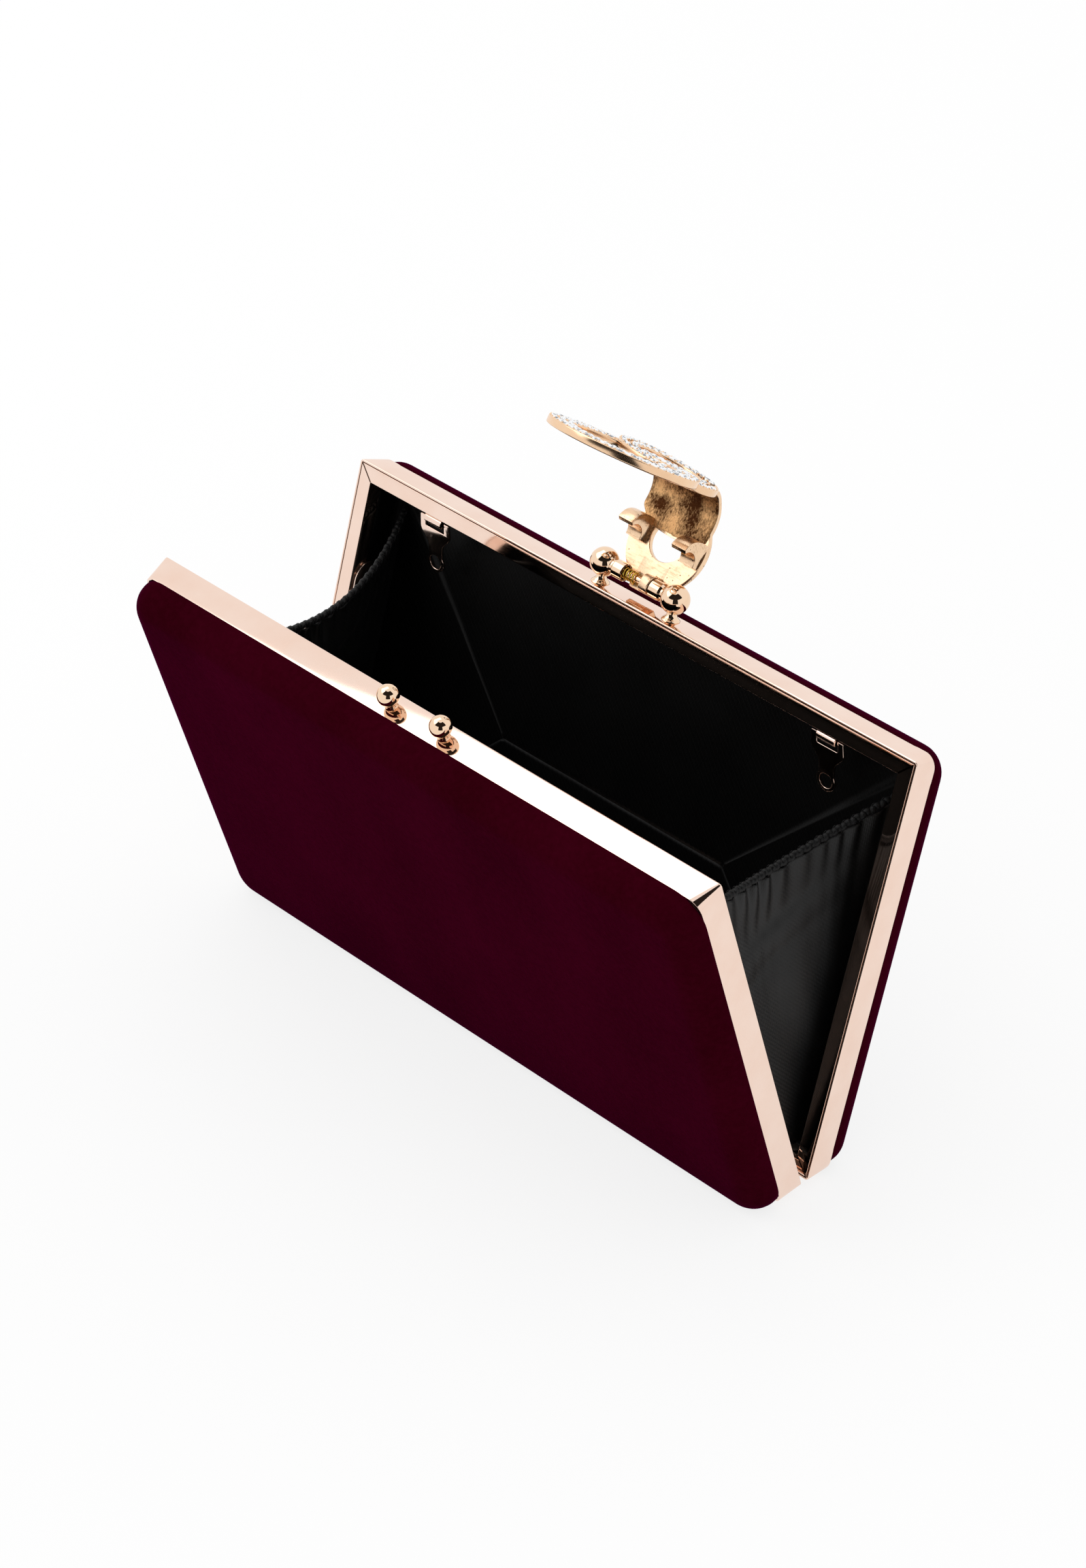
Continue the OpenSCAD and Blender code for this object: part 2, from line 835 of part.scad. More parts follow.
// The bar lies across the open mouth, sinking slightly towards the front half
module stay_bar() {
    pivot = [-inner_w + stay_t + stay_gap,
             shift_y + lean_y(stay_v, stay_pivot_w),
             hinge_z + lean_z(stay_v, stay_pivot_w)];
    color(rose_gold)
        translate(pivot)
            rotate([stay_droop, 0, 0])
                rotate([90, 0, 90])
                    linear_extrude(stay_t)
                        difference() {
                            union() {
                                circle(stay_w / 2);
                                translate([-stay_len, -stay_w / 2])
                                    square([stay_len, stay_w]);
                                translate([-stay_len, 0])
                                    circle(stay_w / 2);
                            }
                            circle(stay_pin_r + pin_clear);
                            translate([-stay_len, 0])
                                circle(stay_eye_r);
                        }
}

// Gussets: u runs from the rear half (0) to the front half (1), h from the bottom (0) to the top (1)

gusset_top_v = case_h - gusset_top_drop;
function mix(a, b, k) = a + (b - a) * k;
function bow(a, m, u) = a * (1 - 4 * u * (1 - u)) + m * 4 * u * (1 - u);
function gusset_end_v(h) = mix(gusset_low_v, gusset_top_v, h);
function gusset_edge_y(h) = lean_y(gusset_end_v(h), gusset_w);
function gusset_edge_z(h) = lean_z(gusset_end_v(h), gusset_w);
function gusset_mid(h) = mix(gusset_low_z, gusset_mid_z - hinge_z, h);
function gusset_point(sx, u, h) = [
    sx * (gusset_x - gusset_fold * h * 4 * u * (1 - u)),
    shift_y + gusset_edge_y(h) * (1 - 2 * u),
    hinge_z + bow(gusset_edge_z(h), gusset_mid(h), u)];

function sheet_points(sx, off) = [for (j = [0 : gusset_rows], i = [0 : gusset_columns])
    gusset_point(sx, i / gusset_columns, j / gusset_rows) - [sx * off, 0, 0]];
function sheet_id(side, i, j) =
    side * (gusset_rows + 1) * (gusset_columns + 1) + j * (gusset_columns + 1) + i;
function two(a, b, c, d) = [[a, b, c], [a, c, d]];

// Faces of the two skins and the four edges of a thin sheet
gusset_faces = concat(
    [for (j = [0 : gusset_rows - 1], i = [0 : gusset_columns - 1])
        each two(sheet_id(0, i, j), sheet_id(0, i, j + 1), sheet_id(0, i + 1, j + 1), sheet_id(0, i + 1, j))],
    [for (j = [0 : gusset_rows - 1], i = [0 : gusset_columns - 1])
        each two(sheet_id(1, i, j), sheet_id(1, i + 1, j), sheet_id(1, i + 1, j + 1), sheet_id(1, i, j + 1))],
    [for (i = [0 : gusset_columns - 1])
        each two(sheet_id(0, i, 0), sheet_id(0, i + 1, 0), sheet_id(1, i + 1, 0), sheet_id(1, i, 0))],
    [for (i = [0 : gusset_columns - 1], n = [gusset_rows])
        each two(sheet_id(0, i, n), sheet_id(1, i, n), sheet_id(1, i + 1, n), sheet_id(0, i + 1, n))],
    [for (j = [0 : gusset_rows - 1])
        each two(sheet_id(0, 0, j), sheet_id(1, 0, j), sheet_id(1, 0, j + 1), sheet_id(0, 0, j + 1))],
    [for (j = [0 : gusset_rows - 1], n = [gusset_columns])
        each two(sheet_id(0, n, j), sheet_id(0, n, j + 1), sheet_id(1, n, j + 1), sheet_id(1, n, j))]);

// The left gusset is the right one mirrored, so its faces keep their sense
module gusset(sx) {
    color(satin_black)
        mirror([sx < 0 ? 1 : 0, 0, 0])
            polyhedron(concat(sheet_points(1, 0), sheet_points(1, gusset_t)), gusset_faces);
}

// Elastic: a tube along the gusset's top edge, resting on it
function elastic_centre(i) =
    gusset_point(1, i / gusset_columns, 1) + [-gusset_t / 2, 0, elastic_r];
elastic_points = [for (i = [0 : gusset_columns], j = [0 : elastic_sides - 1])
    let (b = 360 * j / elastic_sides)
    elastic_centre(i) + elastic_r * [cos(b), 0, sin(b)]];

module elastic(sx) {
    color(satin_black)
        mirror([sx < 0 ? 1 : 0, 0, 0])
            polyhedron(elastic_points, tube_faces(gusset_columns + 1, elastic_sides));
}

rear_place() frame_half(pivot_span);  // rear_frame
rear_place() board_half();  // rear_board
rear_place() foam_half();  // rear_foam
rear_place() velvet_half();  // rear_velvet
rear_place() lining_half();  // rear_lining
front_place() frame_half(catch_span);  // front_frame
front_place() board_half();  // front_board
front_place() foam_half();  // front_foam
front_place() velvet_half();  // front_velvet
front_place() lining_half();  // front_lining
rear_leaf(-1);  // rear_hinge_left
rear_leaf(1);  // rear_hinge_right
front_leaf(-1);  // front_hinge_left
front_leaf(1);  // front_hinge_right
hinge_pin(-1);  // hinge_pin_left
hinge_pin(1);  // hinge_pin_right
front_stud(-1);  // front_stud_left
front_stud(1);  // front_stud_right
rear_stud(-1);  // rear_stud_left
rear_stud(1);  // rear_stud_right
clasp_axle();
clasp_spring();
clasp_body();
stones_large_ring();
stones_small_ring();
clip_tab(-1);  // clip_tab_left
clip_tab(1);  // clip_tab_right
clip_plate(-1);  // clip_plate_left
clip_plate(1);  // clip_plate_right
stay_bracket();
stay_bar();
gusset(-1);  // gusset_left
gusset(1);  // gusset_right
elastic(-1);  // elastic_left
elastic(1);  // elastic_right
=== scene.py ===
"""Hard frame clutch bag: polished frames, velvet covers, satin linings and gussets, and a flip clasp."""

import math

import bmesh
import bpy
import numpy as np
from bpy.props import FloatProperty, FloatVectorProperty, IntProperty, PointerProperty
from bpy.types import Operator, Panel, PropertyGroup
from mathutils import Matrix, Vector


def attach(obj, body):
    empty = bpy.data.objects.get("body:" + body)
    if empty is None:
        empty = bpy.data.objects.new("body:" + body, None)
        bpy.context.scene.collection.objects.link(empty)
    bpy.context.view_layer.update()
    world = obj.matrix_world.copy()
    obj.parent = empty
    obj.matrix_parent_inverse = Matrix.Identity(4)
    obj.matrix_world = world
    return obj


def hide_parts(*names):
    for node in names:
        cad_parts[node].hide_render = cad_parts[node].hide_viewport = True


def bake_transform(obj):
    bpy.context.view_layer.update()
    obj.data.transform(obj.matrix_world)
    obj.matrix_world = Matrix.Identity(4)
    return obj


bl_info = {
    "name": "Hard frame clutch bag",
    "version": (1, 0, 0),
    "blender": (4, 5, 0),
    "location": "View3D > Sidebar > Clutch",
    "description": "Builds an evening clutch that stands open, piece by piece",
    "category": "Object",
}

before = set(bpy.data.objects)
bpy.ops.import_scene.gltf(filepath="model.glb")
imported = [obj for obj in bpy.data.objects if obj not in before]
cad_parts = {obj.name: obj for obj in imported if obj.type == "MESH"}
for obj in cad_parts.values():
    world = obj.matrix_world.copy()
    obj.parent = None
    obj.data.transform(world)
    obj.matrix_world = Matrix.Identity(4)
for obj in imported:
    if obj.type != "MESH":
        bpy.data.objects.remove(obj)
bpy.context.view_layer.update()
MM = 0.001
STITCHES = 34


def length(name, about, default_mm):
    """A length property whose default is given in millimetres."""
    return FloatProperty(name=name, description=about, default=default_mm * MM, unit="LENGTH", precision=5)


def tint(name, about, default):
    """A colour property, linear red, green and blue."""
    return FloatVectorProperty(name=name, description=about, default=default, subtype="COLOR", size=3,
                               min=0, max=1)


class CaseSizes(PropertyGroup):
    half_length: length("Half length", "Half of a frame's length", 90.0)
    height: length("Height", "Height of a frame", 107.0)
    lean: FloatProperty(name="Lean", description="Lean of each half from upright",
                        default=math.radians(16.5), subtype="ANGLE")
    rim_gap: length("Rim gap", "Gap between the two rims when shut", 1.2)
    pin_drop: length("Pin drop", "How far the hinge pin lies under the frames", 1.1)
    hinge_y: length("Hinge place", "Y of the hinge pin", -5.86325)
    hinge_z: length("Hinge height", "Height of the hinge pin", 2.4592)
    band_depth: length("Band depth", "Depth of the polished outer band", 7.1)
    rim_width: length("Rim width", "Width of the flat rim", 4.7)
    lip_depth: length("Lip depth", "Depth of the lip that turns in", 4.1)
    sheet: length("Sheet", "Thickness of the frame's metal", 0.7)
    rim_corner: length("Rim corner", "Corner radius at the rim", 0.9)
    band_corner: length("Band corner", "Corner radius at the velvet", 3.5)
    groove_place: length("Groove place", "Distance of the rim's groove from its outer edge", 0.55)
    groove_width: length("Groove width", "Width of that groove", 0.3)
    shell_depth: length("Shell depth", "Depth of a half from its rim to its velvet face", 14.8)
    cover_over: length("Velvet overhang", "How far the velvet stands out past the band", 0.8)
    shell_edge: length("Shell edge", "Radius of the velvet face's edge", 6.7)
    shell_corner: length("Shell corner", "Corner radius of the velvet face", 8.0)
    lining_inset: length("Lining inset", "Distance of the lining's walls from the frame's outside", 4.4)
    lining_floor: length("Lining floor", "Depth of the lining's floor", 11.6)


class GussetSizes(PropertyGroup):
    place: length("Place", "Distance of a gusset from the middle of the case", 82.6)
    fold: length("Fold", "How far the gusset folds inwards at its top", 10.0)
    seam_depth: length("Seam depth", "Depth of the seam inside a half", 11.3)
    low: length("Low end", "Height of the gusset's low end in a half", 5.6)
    top: length("Top end", "Height of the gusset's top corners in a half", 94.5)
    mid_low: length("Low middle", "Height of the low middle over the pin", 6.35)
    mid_top: length("Top middle", "Height of the top edge's middle", 81.0)
    gathers: IntProperty(name="Gathers", description="Number of gathers across a gusset", default=17)
    gather_size: length("Gather size", "Depth of the gathers under the elastic", 0.75)
    elastic: length("Elastic", "Radius of the elastic edge", 0.9)


class ClaspSizes(PropertyGroup):
    pivot_y: length("Pivot place", "Y of the clasp's pivot line", 30.2664)
    pivot_z: length("Pivot height", "Height of the clasp's pivot line", 109.819)
    lean: FloatProperty(name="Lean", description="Lean of the crescent plate from upright",
                        default=math.radians(43.5), subtype="ANGLE")
    plate_back: length("Plate back", "Distance of the plate's back behind the pivot line", 4.1)
    plate: length("Plate", "Thickness of the crescent plate", 1.6)
    crescent: length("Crescent", "Radius of the crescent plate", 11.3)
    crescent_rise: length("Crescent rise", "Height of the crescent's middle above the pivot", 10.4)
    hole: length("Hole", "Radius of the plate's hole", 5.2)
    hole_rise: length("Hole rise", "Height of the hole's middle above the pivot", 11.4)
    arch: length("Arch", "Mean radius of the arch", 8.0)
    arch_width: length("Arch width", "Width of the arch", 21.0)
    arch_shift: length("Arch shift", "How far the arch stands to the left of the plate", 1.3)
    foot_rise: length("Foot rise", "Height of the arch's foot above the pivot", 12.3)
    reach: length("Reach", "Height of the ornament above the pivot", 26.6)
    ornament_lean: FloatProperty(name="Ornament lean", description="Lean of the rings' plane",
                                 default=math.radians(8.2), subtype="ANGLE")
    large: length("Large ring", "Outer radius of the large ring", 18.7)
    large_band: length("Large band", "Width of the large ring's band", 6.3)
    large_place: length("Large ring place", "Distance of the large ring's middle along the ornament", 25.8)
    small: length("Small ring", "Outer radius of the small ring", 13.0)
    small_band: length("Small band", "Width of the small ring's band", 5.0)
    small_place: length("Small ring place", "Distance of the small ring's middle along the ornament", 7.8)
    twist: FloatProperty(name="Twist", description="Twist of the small ring through the large one",
                         default=math.radians(5), subtype="ANGLE")
    ring: length("Ring", "Thickness of both rings", 1.8)
    stone: length("Stone", "Girdle radius of a stone", 0.95)
    catch_span: length("Catch span", "Distance between the catch balls", 17.0)
    catch_ball: length("Catch ball", "Radius of a catch ball", 2.7)
    catch_rise: length("Catch rise", "Height of a catch ball's middle above the band", 3.3)
    pivot_span: length("Pivot span", "Distance between the pivot balls", 22.8)
    pivot_ball: length("Pivot ball", "Radius of a pivot ball", 3.25)
    pivot_rise: length("Pivot rise", "Height of a pivot ball's middle above the band", 5.1)
    barrel: length("Barrel", "Outer radius of a barrel", 2.2)
    barrel_gap: length("Barrel gap", "Gap between the two barrels", 8.6)


class FittingSizes(PropertyGroup):
    clip_place: length("Clip place", "Distance of a clip from the middle of the case", 63.8)
    clip_y: length("Clip depth", "Y of the clips' pivots", 25.4501)
    clip_z: length("Clip height", "Height of the clips' pivots", 99.721)
    clip_drop: length("Clip drop", "Length of a clip from its pivot to its eye", 11.8)
    clip_width: length("Clip width", "Width of a clip", 9.9)
    clip_neck: length("Clip neck", "Width of a clip's neck", 4.6)
    clip_sheet: length("Clip sheet", "Thickness of a clip", 0.7)
    eye: length("Eye", "Radius of a clip's eye", 1.9)
    eye_rim: length("Eye rim", "Width of metal round the eye", 0.85)
    stay_height: length("Stay height", "Height of the stay's pivot in the rear half", 73.0)
    stay_depth: length("Stay depth", "Depth of the stay's pivot in the rear half", 5.6)
    stay_length: length("Stay length", "Length of the stay between its ends' middles", 47.0)
    stay_width: length("Stay width", "Width of the stay bar", 4.6)
    stay_sheet: length("Stay sheet", "Thickness of the stay bar", 0.8)
    stay_droop: FloatProperty(name="Stay droop", description="How far the stay sinks to the front",
                              default=math.radians(7.7), subtype="ANGLE")


class Finishes(PropertyGroup):
    rose_gold: tint("Rose gold", "Plated frames", (0.90, 0.70, 0.595))
    ball_gold: tint("Ball gold", "Balls and barrels", (0.91, 0.68, 0.49))
    cast_gold: tint("Cast gold", "Clasp casting", (0.91, 0.64, 0.42))
    cast_shade: tint("Cast shade", "Dark tone in the casting", (0.36, 0.20, 0.07))
    rough_gold: tint("Rough gold", "Inside of the arch", (0.84, 0.50, 0.23))
    # painted dark reflections inside the arch: a tone for the dark surroundings that the arch mirrors
    painted_arch_reflection: tint("Rough shade", "Dark patches inside the arch", (0.07, 0.022, 0.006))
    spring_brass: tint("Spring brass", "Spring wire", (0.72, 0.52, 0.10))
    velvet_deep: tint("Velvet", "Velvet seen along its pile", (0.024, 0.0004, 0.003))
    velvet_light: tint("Brushed velvet", "Velvet brushed the other way", (0.036, 0.0007, 0.0055))
    velvet_sheen: tint("Velvet sheen", "Glow along the velvet's edges", (0.42, 0.004, 0.25))
    lining: tint("Lining", "Satin of the linings", (0.0012, 0.0012, 0.0012))
    gusset: tint("Gusset", "Satin of the gussets", (0.0008, 0.0008, 0.00085))
    stone: tint("Stone", "Clear stones", (0.93, 0.95, 0.97))


# Meshes


def grid_faces(rows, columns, close_rows, close_columns):
    """Corners of the quads of a grid; a closed direction joins its last row to its first."""
    i = np.arange(rows if close_rows else rows - 1)[:, None]
    j = np.arange(columns if close_columns else columns - 1)[None, :]
    i2, j2 = (i + 1) % rows, (j + 1) % columns
    corners = [i * columns + j, i * columns + j2, i2 * columns + j2, i2 * columns + j]
    return np.stack(corners, -1).reshape(-1, 4)


def signed_volume(points, faces):
    """Six times the volume that quads enclose, positive where they face outwards."""
    a, b, c, d = (points[faces[:, k]] for k in range(4))
    return float((np.cross(a, b) * c).sum() + (np.cross(a, c) * d).sum())


def linked(name, data):
    """An object of a mesh, curve, lamp or camera, linked to the scene."""
    made = bpy.data.objects.new(name, data)
    bpy.context.scene.collection.objects.link(made)
    return made


def smoothed(mesh, sharp):
    """Smooth faces, with edges kept sharp from an angle in degrees."""
    mesh.polygons.foreach_set("use_smooth", np.ones(len(mesh.polygons), bool))
    mesh.set_sharp_from_angle(angle=math.radians(sharp))
    mesh.update()


def facing_out(mesh):
    """Turns the faces of a mesh outwards."""
    shape = bmesh.new()
    shape.from_mesh(mesh)
    bmesh.ops.recalc_face_normals(shape, faces=shape.faces)
    shape.to_mesh(mesh)
    shape.free()


def new_piece(name, points, faces, uv=None, sharp=35.0, weld=0.0, outward=False):
    """An object from points and quads; uv holds two numbers for each point."""
    mesh = bpy.data.meshes.new(name)
    mesh.from_pydata(points.tolist(), [], faces.tolist())
    if uv is not None:
        corners = np.zeros(len(mesh.loops), np.int32)
        mesh.loops.foreach_get("vertex_index", corners)
        mesh.uv_layers.new(name="UVMap").data.foreach_set("uv", uv[corners].astype(np.float32).ravel())
    if weld:
        shape = bmesh.new()
        shape.from_mesh(mesh)
        bmesh.ops.remove_doubles(shape, verts=shape.verts, dist=weld)
        bmesh.ops.dissolve_degenerate(shape, edges=shape.edges, dist=weld)
        if outward:
            bmesh.ops.recalc_face_normals(shape, faces=shape.faces)
        shape.to_mesh(mesh)
        shape.free()
    smoothed(mesh, sharp)
    return linked(name, mesh)


def skin(name, points, closed, inward=False, **options):
    """An object from a grid of points, turned so that a closed form faces outwards."""
    rows, columns = points.shape[:2]
    faces = grid_faces(rows, columns, *closed)
    flat = points.reshape(-1, 3)
    if (signed_volume(flat, faces) < 0) != inward:
        faces = faces[:, ::-1]
    return new_piece(name, flat, faces, **options)


def capped(points):
    """A grid of rings with both ends drawn in to their middles, so that the form is closed."""
    first, last = points[:1].mean(1, keepdims=True), points[-1:].mean(1, keepdims=True)
    ends = [np.broadcast_to(e, points[:1].shape) for e in (first, last)]
    return np.concatenate([ends[0], points, ends[1]], 0)


def strip(name, points, **options):
    """A thin strip from a grid of rings. In each ring the first half runs along one face and the rest back
    along the other."""
    rows, columns = points.shape[:2]
    j = np.arange(columns // 2 - 1)
    end = np.stack([j, j + 1, columns - 2 - j, columns - 1 - j], -1)
    faces = np.concatenate([grid_faces(rows, columns, False, True), end, end + (rows - 1) * columns])
    return new_piece(name, points.reshape(-1, 3), faces, outward=True, **options)


def smooth(share):
    """Share from 0 to 1 by 3k^2 - 2k^3."""
    k = np.clip(share, 0, 1)
    return k * k * (3 - 2 * k)


def fillet(corners, radii, steps=4):
    """Outline with rounded corners. Each becomes the parabola (1-k)^2 start + 2k(1-k) corner + k^2 end, which
    starts and ends its radius away, or at most 0.48 of the side."""
    corners = np.asarray(corners, float)
    radii = np.broadcast_to(np.asarray(radii, float), (len(corners),))
    before, after = np.roll(corners, 1, 0) - corners, np.roll(corners, -1, 0) - corners
    reach = lambda v: v / np.linalg.norm(v, axis=1, keepdims=True) * np.minimum(
        radii[:, None], 0.48 * np.linalg.norm(v, axis=1, keepdims=True))
    k = np.linspace(0, 1, steps + 1)[None, :, None]
    start, end = (corners + reach(before))[:, None], (corners + reach(after))[:, None]
    middle = corners[:, None]
    return ((1 - k) ** 2 * start + 2 * k * (1 - k) * middle + k ** 2 * end).reshape(-1, 2)


def rectangle_loops(half_length, low, high, radius, side_steps, arc_steps):
    """Rounded rectangles, one for each entry. A corner is its centre plus radius times (cos a, sin a), and a
    side is split evenly."""
    radius = np.maximum(radius, 0)
    quarter = np.arange(4)[:, None] * math.pi / 2
    angle = quarter - math.pi / 2 + np.linspace(0, math.pi / 2, arc_steps + 1)[None]
    right, up = np.array([1, 1, -1, -1]), np.array([0, 1, 1, 0])
    centre = np.stack([right * (half_length - radius)[:, None],
                       np.where(up, (high - radius)[:, None], (low + radius)[:, None])], -1)
    arc = np.stack([np.cos(angle), np.sin(angle)], -1)[None]
    arcs = centre[:, :, None] + radius[:, None, None, None] * arc
    k = (np.arange(1, side_steps) / side_steps)[None, None, :, None]
    sides = arcs[:, :, -1:] * (1 - k) + np.roll(arcs, -1, 1)[:, :, :1] * k
    return np.concatenate([arcs, sides], 2).reshape(len(radius), -1, 2)


def half_loops(case, out, depth, radius, side_steps=24, arc_steps=8):
    """Loops round a half: out is how far each lies outside the frame, depth its distance from the rim."""
    out, depth, radius = (np.asarray(a, float) for a in np.broadcast_arrays(out, depth, radius))
    loops = rectangle_loops(case.half_length + out, -out, case.height + out, radius, side_steps, arc_steps)
    return np.concatenate([loops, np.broadcast_to(depth[:, None, None], loops.shape[:2] + (1,))], 2)


def in_half(case, points, rear):
    """Row place of points given as x, height v and depth w in a half, turned by the lean about the pin:
    y = v sin + w cos, z = v cos - w sin."""
    x, v, w = points[..., 0], points[..., 1] + case.pin_drop, points[..., 2] + case.rim_gap / 2
    s, c = math.sin(case.lean), math.cos(case.lean)
    side = 1 if rear else -1
    return np.stack([x, case.hinge_y + side * (v * s + w * c), case.hinge_z + v * c - w * s], -1)


def in_clasp(clasp, points):
    """Row place of points given as x, rise t up the plate and s to the front of it, turned by the lean:
    y = t sin - s cos, z = t cos + s sin."""
    x, t, s = points[..., 0], points[..., 1], points[..., 2]
    sn, cs = math.sin(clasp.lean), math.cos(clasp.lean)
    return np.stack([x, clasp.pivot_y + t * sn - s * cs, clasp.pivot_z + t * cs + s * sn], -1)


def in_ornament(clasp, points, place, twist=0.0):
    """Row place of points about a ring's middle, given as x, q along the ornament and n out of its set face.
    x and n are first turned by the twist."""
    x, q, n = points[..., 0], points[..., 1], points[..., 2]
    x, n = x * math.cos(twist) - n * math.sin(twist), x * math.sin(twist) + n * math.cos(twist)
    q = q + place
    sn, cs = math.sin(clasp.ornament_lean), math.cos(clasp.ornament_lean)
    front = clasp.arch - clasp.plate_back + clasp.plate / 2
    return in_clasp(clasp, np.stack([-x, clasp.reach - q * sn + n * cs, front + q * cs + n * sn], -1))


def cut_plate(name, outlines, thickness, bevel, place):
    """A flat plate with rounded edges from closed outlines, the first outside and the others holes. place
    takes its points to the row."""
    curve = bpy.data.curves.new(name, "CURVE")
    curve.dimensions, curve.fill_mode = "2D", "BOTH"
    curve.extrude, curve.offset = thickness / 2 - bevel, -bevel
    curve.bevel_depth, curve.bevel_resolution = bevel, 2
    for outline in outlines:
        spline = curve.splines.new("POLY")
        spline.points.add(len(outline) - 1)
        spline.points.foreach_set("co", np.column_stack(
            [outline, np.zeros(len(outline)), np.ones(len(outline))]).ravel())
        spline.use_cyclic_u = True
    maker = linked(name + "_outline", curve)
    bpy.context.view_layer.update()
    mesh = bpy.data.meshes.new_from_object(maker.evaluated_get(bpy.context.evaluated_depsgraph_get()))
    bpy.data.objects.remove(maker)
    mesh.name = name
    shape = bmesh.new()
    shape.from_mesh(mesh)
    bmesh.ops.remove_doubles(shape, verts=shape.verts, dist=1e-6)
    shape.to_mesh(mesh)
    shape.free()
    co = np.zeros(len(mesh.vertices) * 3)
    mesh.vertices.foreach_get("co", co)
    mesh.vertices.foreach_set("co", place(co.reshape(-1, 3)).ravel())
    facing_out(mesh)
    smoothed(mesh, 35)
    return linked(name, mesh)


def circle(radius, centre=(0, 0), steps=48):
    """Points of a circle: centre plus radius times (cos a, sin a)."""
    a = np.arange(steps) * 2 * math.pi / steps
    return np.column_stack([centre[0] + radius * np.cos(a), centre[1] + radius * np.sin(a)])


def tube(path, radius, sides=10):
    """Rings round a path: each point plus radius times (cos a side + sin a other), where side and other are
    square to the path and side is square to x."""
    path = np.asarray(path, float)
    along = np.gradient(path, axis=0)
    along /= np.linalg.norm(along, axis=1, keepdims=True)
    side = np.cross(along, np.broadcast_to(np.array([1.0, 0, 0]), along.shape))
    side /= np.linalg.norm(side, axis=1, keepdims=True)
    other = np.cross(along, side)
    a = (np.arange(sides) * 2 * math.pi / sides)[None, :, None]
    radius = np.broadcast_to(np.asarray(radius, float), (len(path),))[:, None, None]
    return path[:, None] + radius * (np.cos(a) * side[:, None] + np.sin(a) * other[:, None])


def turned(profile, steps=48):
    """Rings of a profile turned about z: each radius and height becomes (r cos a, r sin a, h)."""
    profile = np.asarray(profile, float)
    a = (np.arange(steps) * 2 * math.pi / steps)[None]
    return np.stack([profile[:, :1] * np.cos(a), profile[:, :1] * np.sin(a),
                     np.broadcast_to(profile[:, 1:2], (len(profile), steps))], -1)


def half_name(rear):
    """Name of a half."""
    return "rear" if rear else "front"


def hand(side):
    """Name of the end at -x or +x."""
    return "left" if side < 0 else "right"


def thicken(piece, thickness, offset):
    """Gives a cloth surface its thickness, behind it where offset is -1 and on both sides where it is 0."""
    cloth = piece.modifiers.new("cloth", "SOLIDIFY")
    cloth.thickness, cloth.offset = thickness, offset


def dress(piece, body, material, slot, *nodes):
    """Gives a piece its finish, the body that it rides on and the nodes that it stands for."""
    piece.data.materials.clear()
    piece.data.materials.append(material)
    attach(piece, body)
    if nodes:
        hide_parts(*nodes)
    return piece


def paint_node(name, material):
    """Gives a carried-over node its finish."""
    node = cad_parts[name]
    node.data.materials.clear()
    node.data.materials.append(material)


# Materials


def add(tree, kind, settings=None, **inputs):
    """A shader node. Each input is a value or the socket that feeds it, named with _ for a space, or by i and
    its number."""
    made = tree.nodes.new(kind)
    for key, value in (settings or {}).items():
        setattr(made, key, value)
    for key, value in inputs.items():
        numbered = key[0] == "i" and key[1:].isdigit()
        socket = made.inputs[int(key[1:]) if numbered else key.replace("_", " ")]
        if isinstance(value, bpy.types.NodeSocket):
            tree.links.new(value, socket)
        else:
            socket.default_value = value
    return made


def combined(tree, operation, *values):
    """What a math node makes of two or three values."""
    inputs = {f"i{n}": value for n, value in enumerate(values)}
    return add(tree, "ShaderNodeMath", {"operation": operation}, **inputs).outputs[0]


def blank(name):
    """A new material with an empty tree, and that tree."""
    material = bpy.data.materials.new(name)
    material.use_nodes = True
    material.node_tree.nodes.clear()
    return material, material.node_tree


def place_socket(tree, uv=False, scale=(1, 1, 1), turn=0.0):
    """Where a pattern reads its place: Object coordinates or the piece's UV map, scaled and turned."""
    source = add(tree, "ShaderNodeTexCoord").outputs["UV" if uv else "Object"]
    return add(tree, "ShaderNodeMapping", Vector=source, Scale=scale, Rotation=(0, 0, turn)).outputs[0]


def noise(tree, place, scale, detail=3.0, roughness=0.5):
    """Noise at a scale in cycles a metre."""
    return add(tree, "ShaderNodeTexNoise", Vector=place, Scale=scale, Detail=detail,
               Roughness=roughness).outputs[0]


def spread(tree, value, low, high, out_low, out_high):
    """Takes low..high of a value to out_low..out_high."""
    return add(tree, "ShaderNodeMapRange", Value=value, From_Min=low, From_Max=high, To_Min=out_low,
               To_Max=out_high).outputs[0]


def blended(tree, factor, a, b):
    """Colour a where the factor is 0 and b where it is 1."""
    made = add(tree, "ShaderNodeMix", {"data_type": "RGBA"}, i0=factor)
    for index, value in ((6, a), (7, b)):
        if isinstance(value, bpy.types.NodeSocket):
            tree.links.new(value, made.inputs[index])
        else:
            made.inputs[index].default_value = (*value[:3], 1)
    return made.outputs[2]


def bumped(tree, height, strength, distance, under=None):
    """Bump from a height, over another bump if one is given."""
    more = {"Normal": under} if under is not None else {}
    return add(tree, "ShaderNodeBump", Height=height, Strength=strength, Distance=distance, **more).outputs[0]


def finish_tree(tree, **inputs):
    """The surface shader and the output that it feeds."""
    shader = add(tree, "ShaderNodeBsdfPrincipled", **inputs)
    add(tree, "ShaderNodeOutputMaterial", Surface=shader.outputs[0])
    return shader


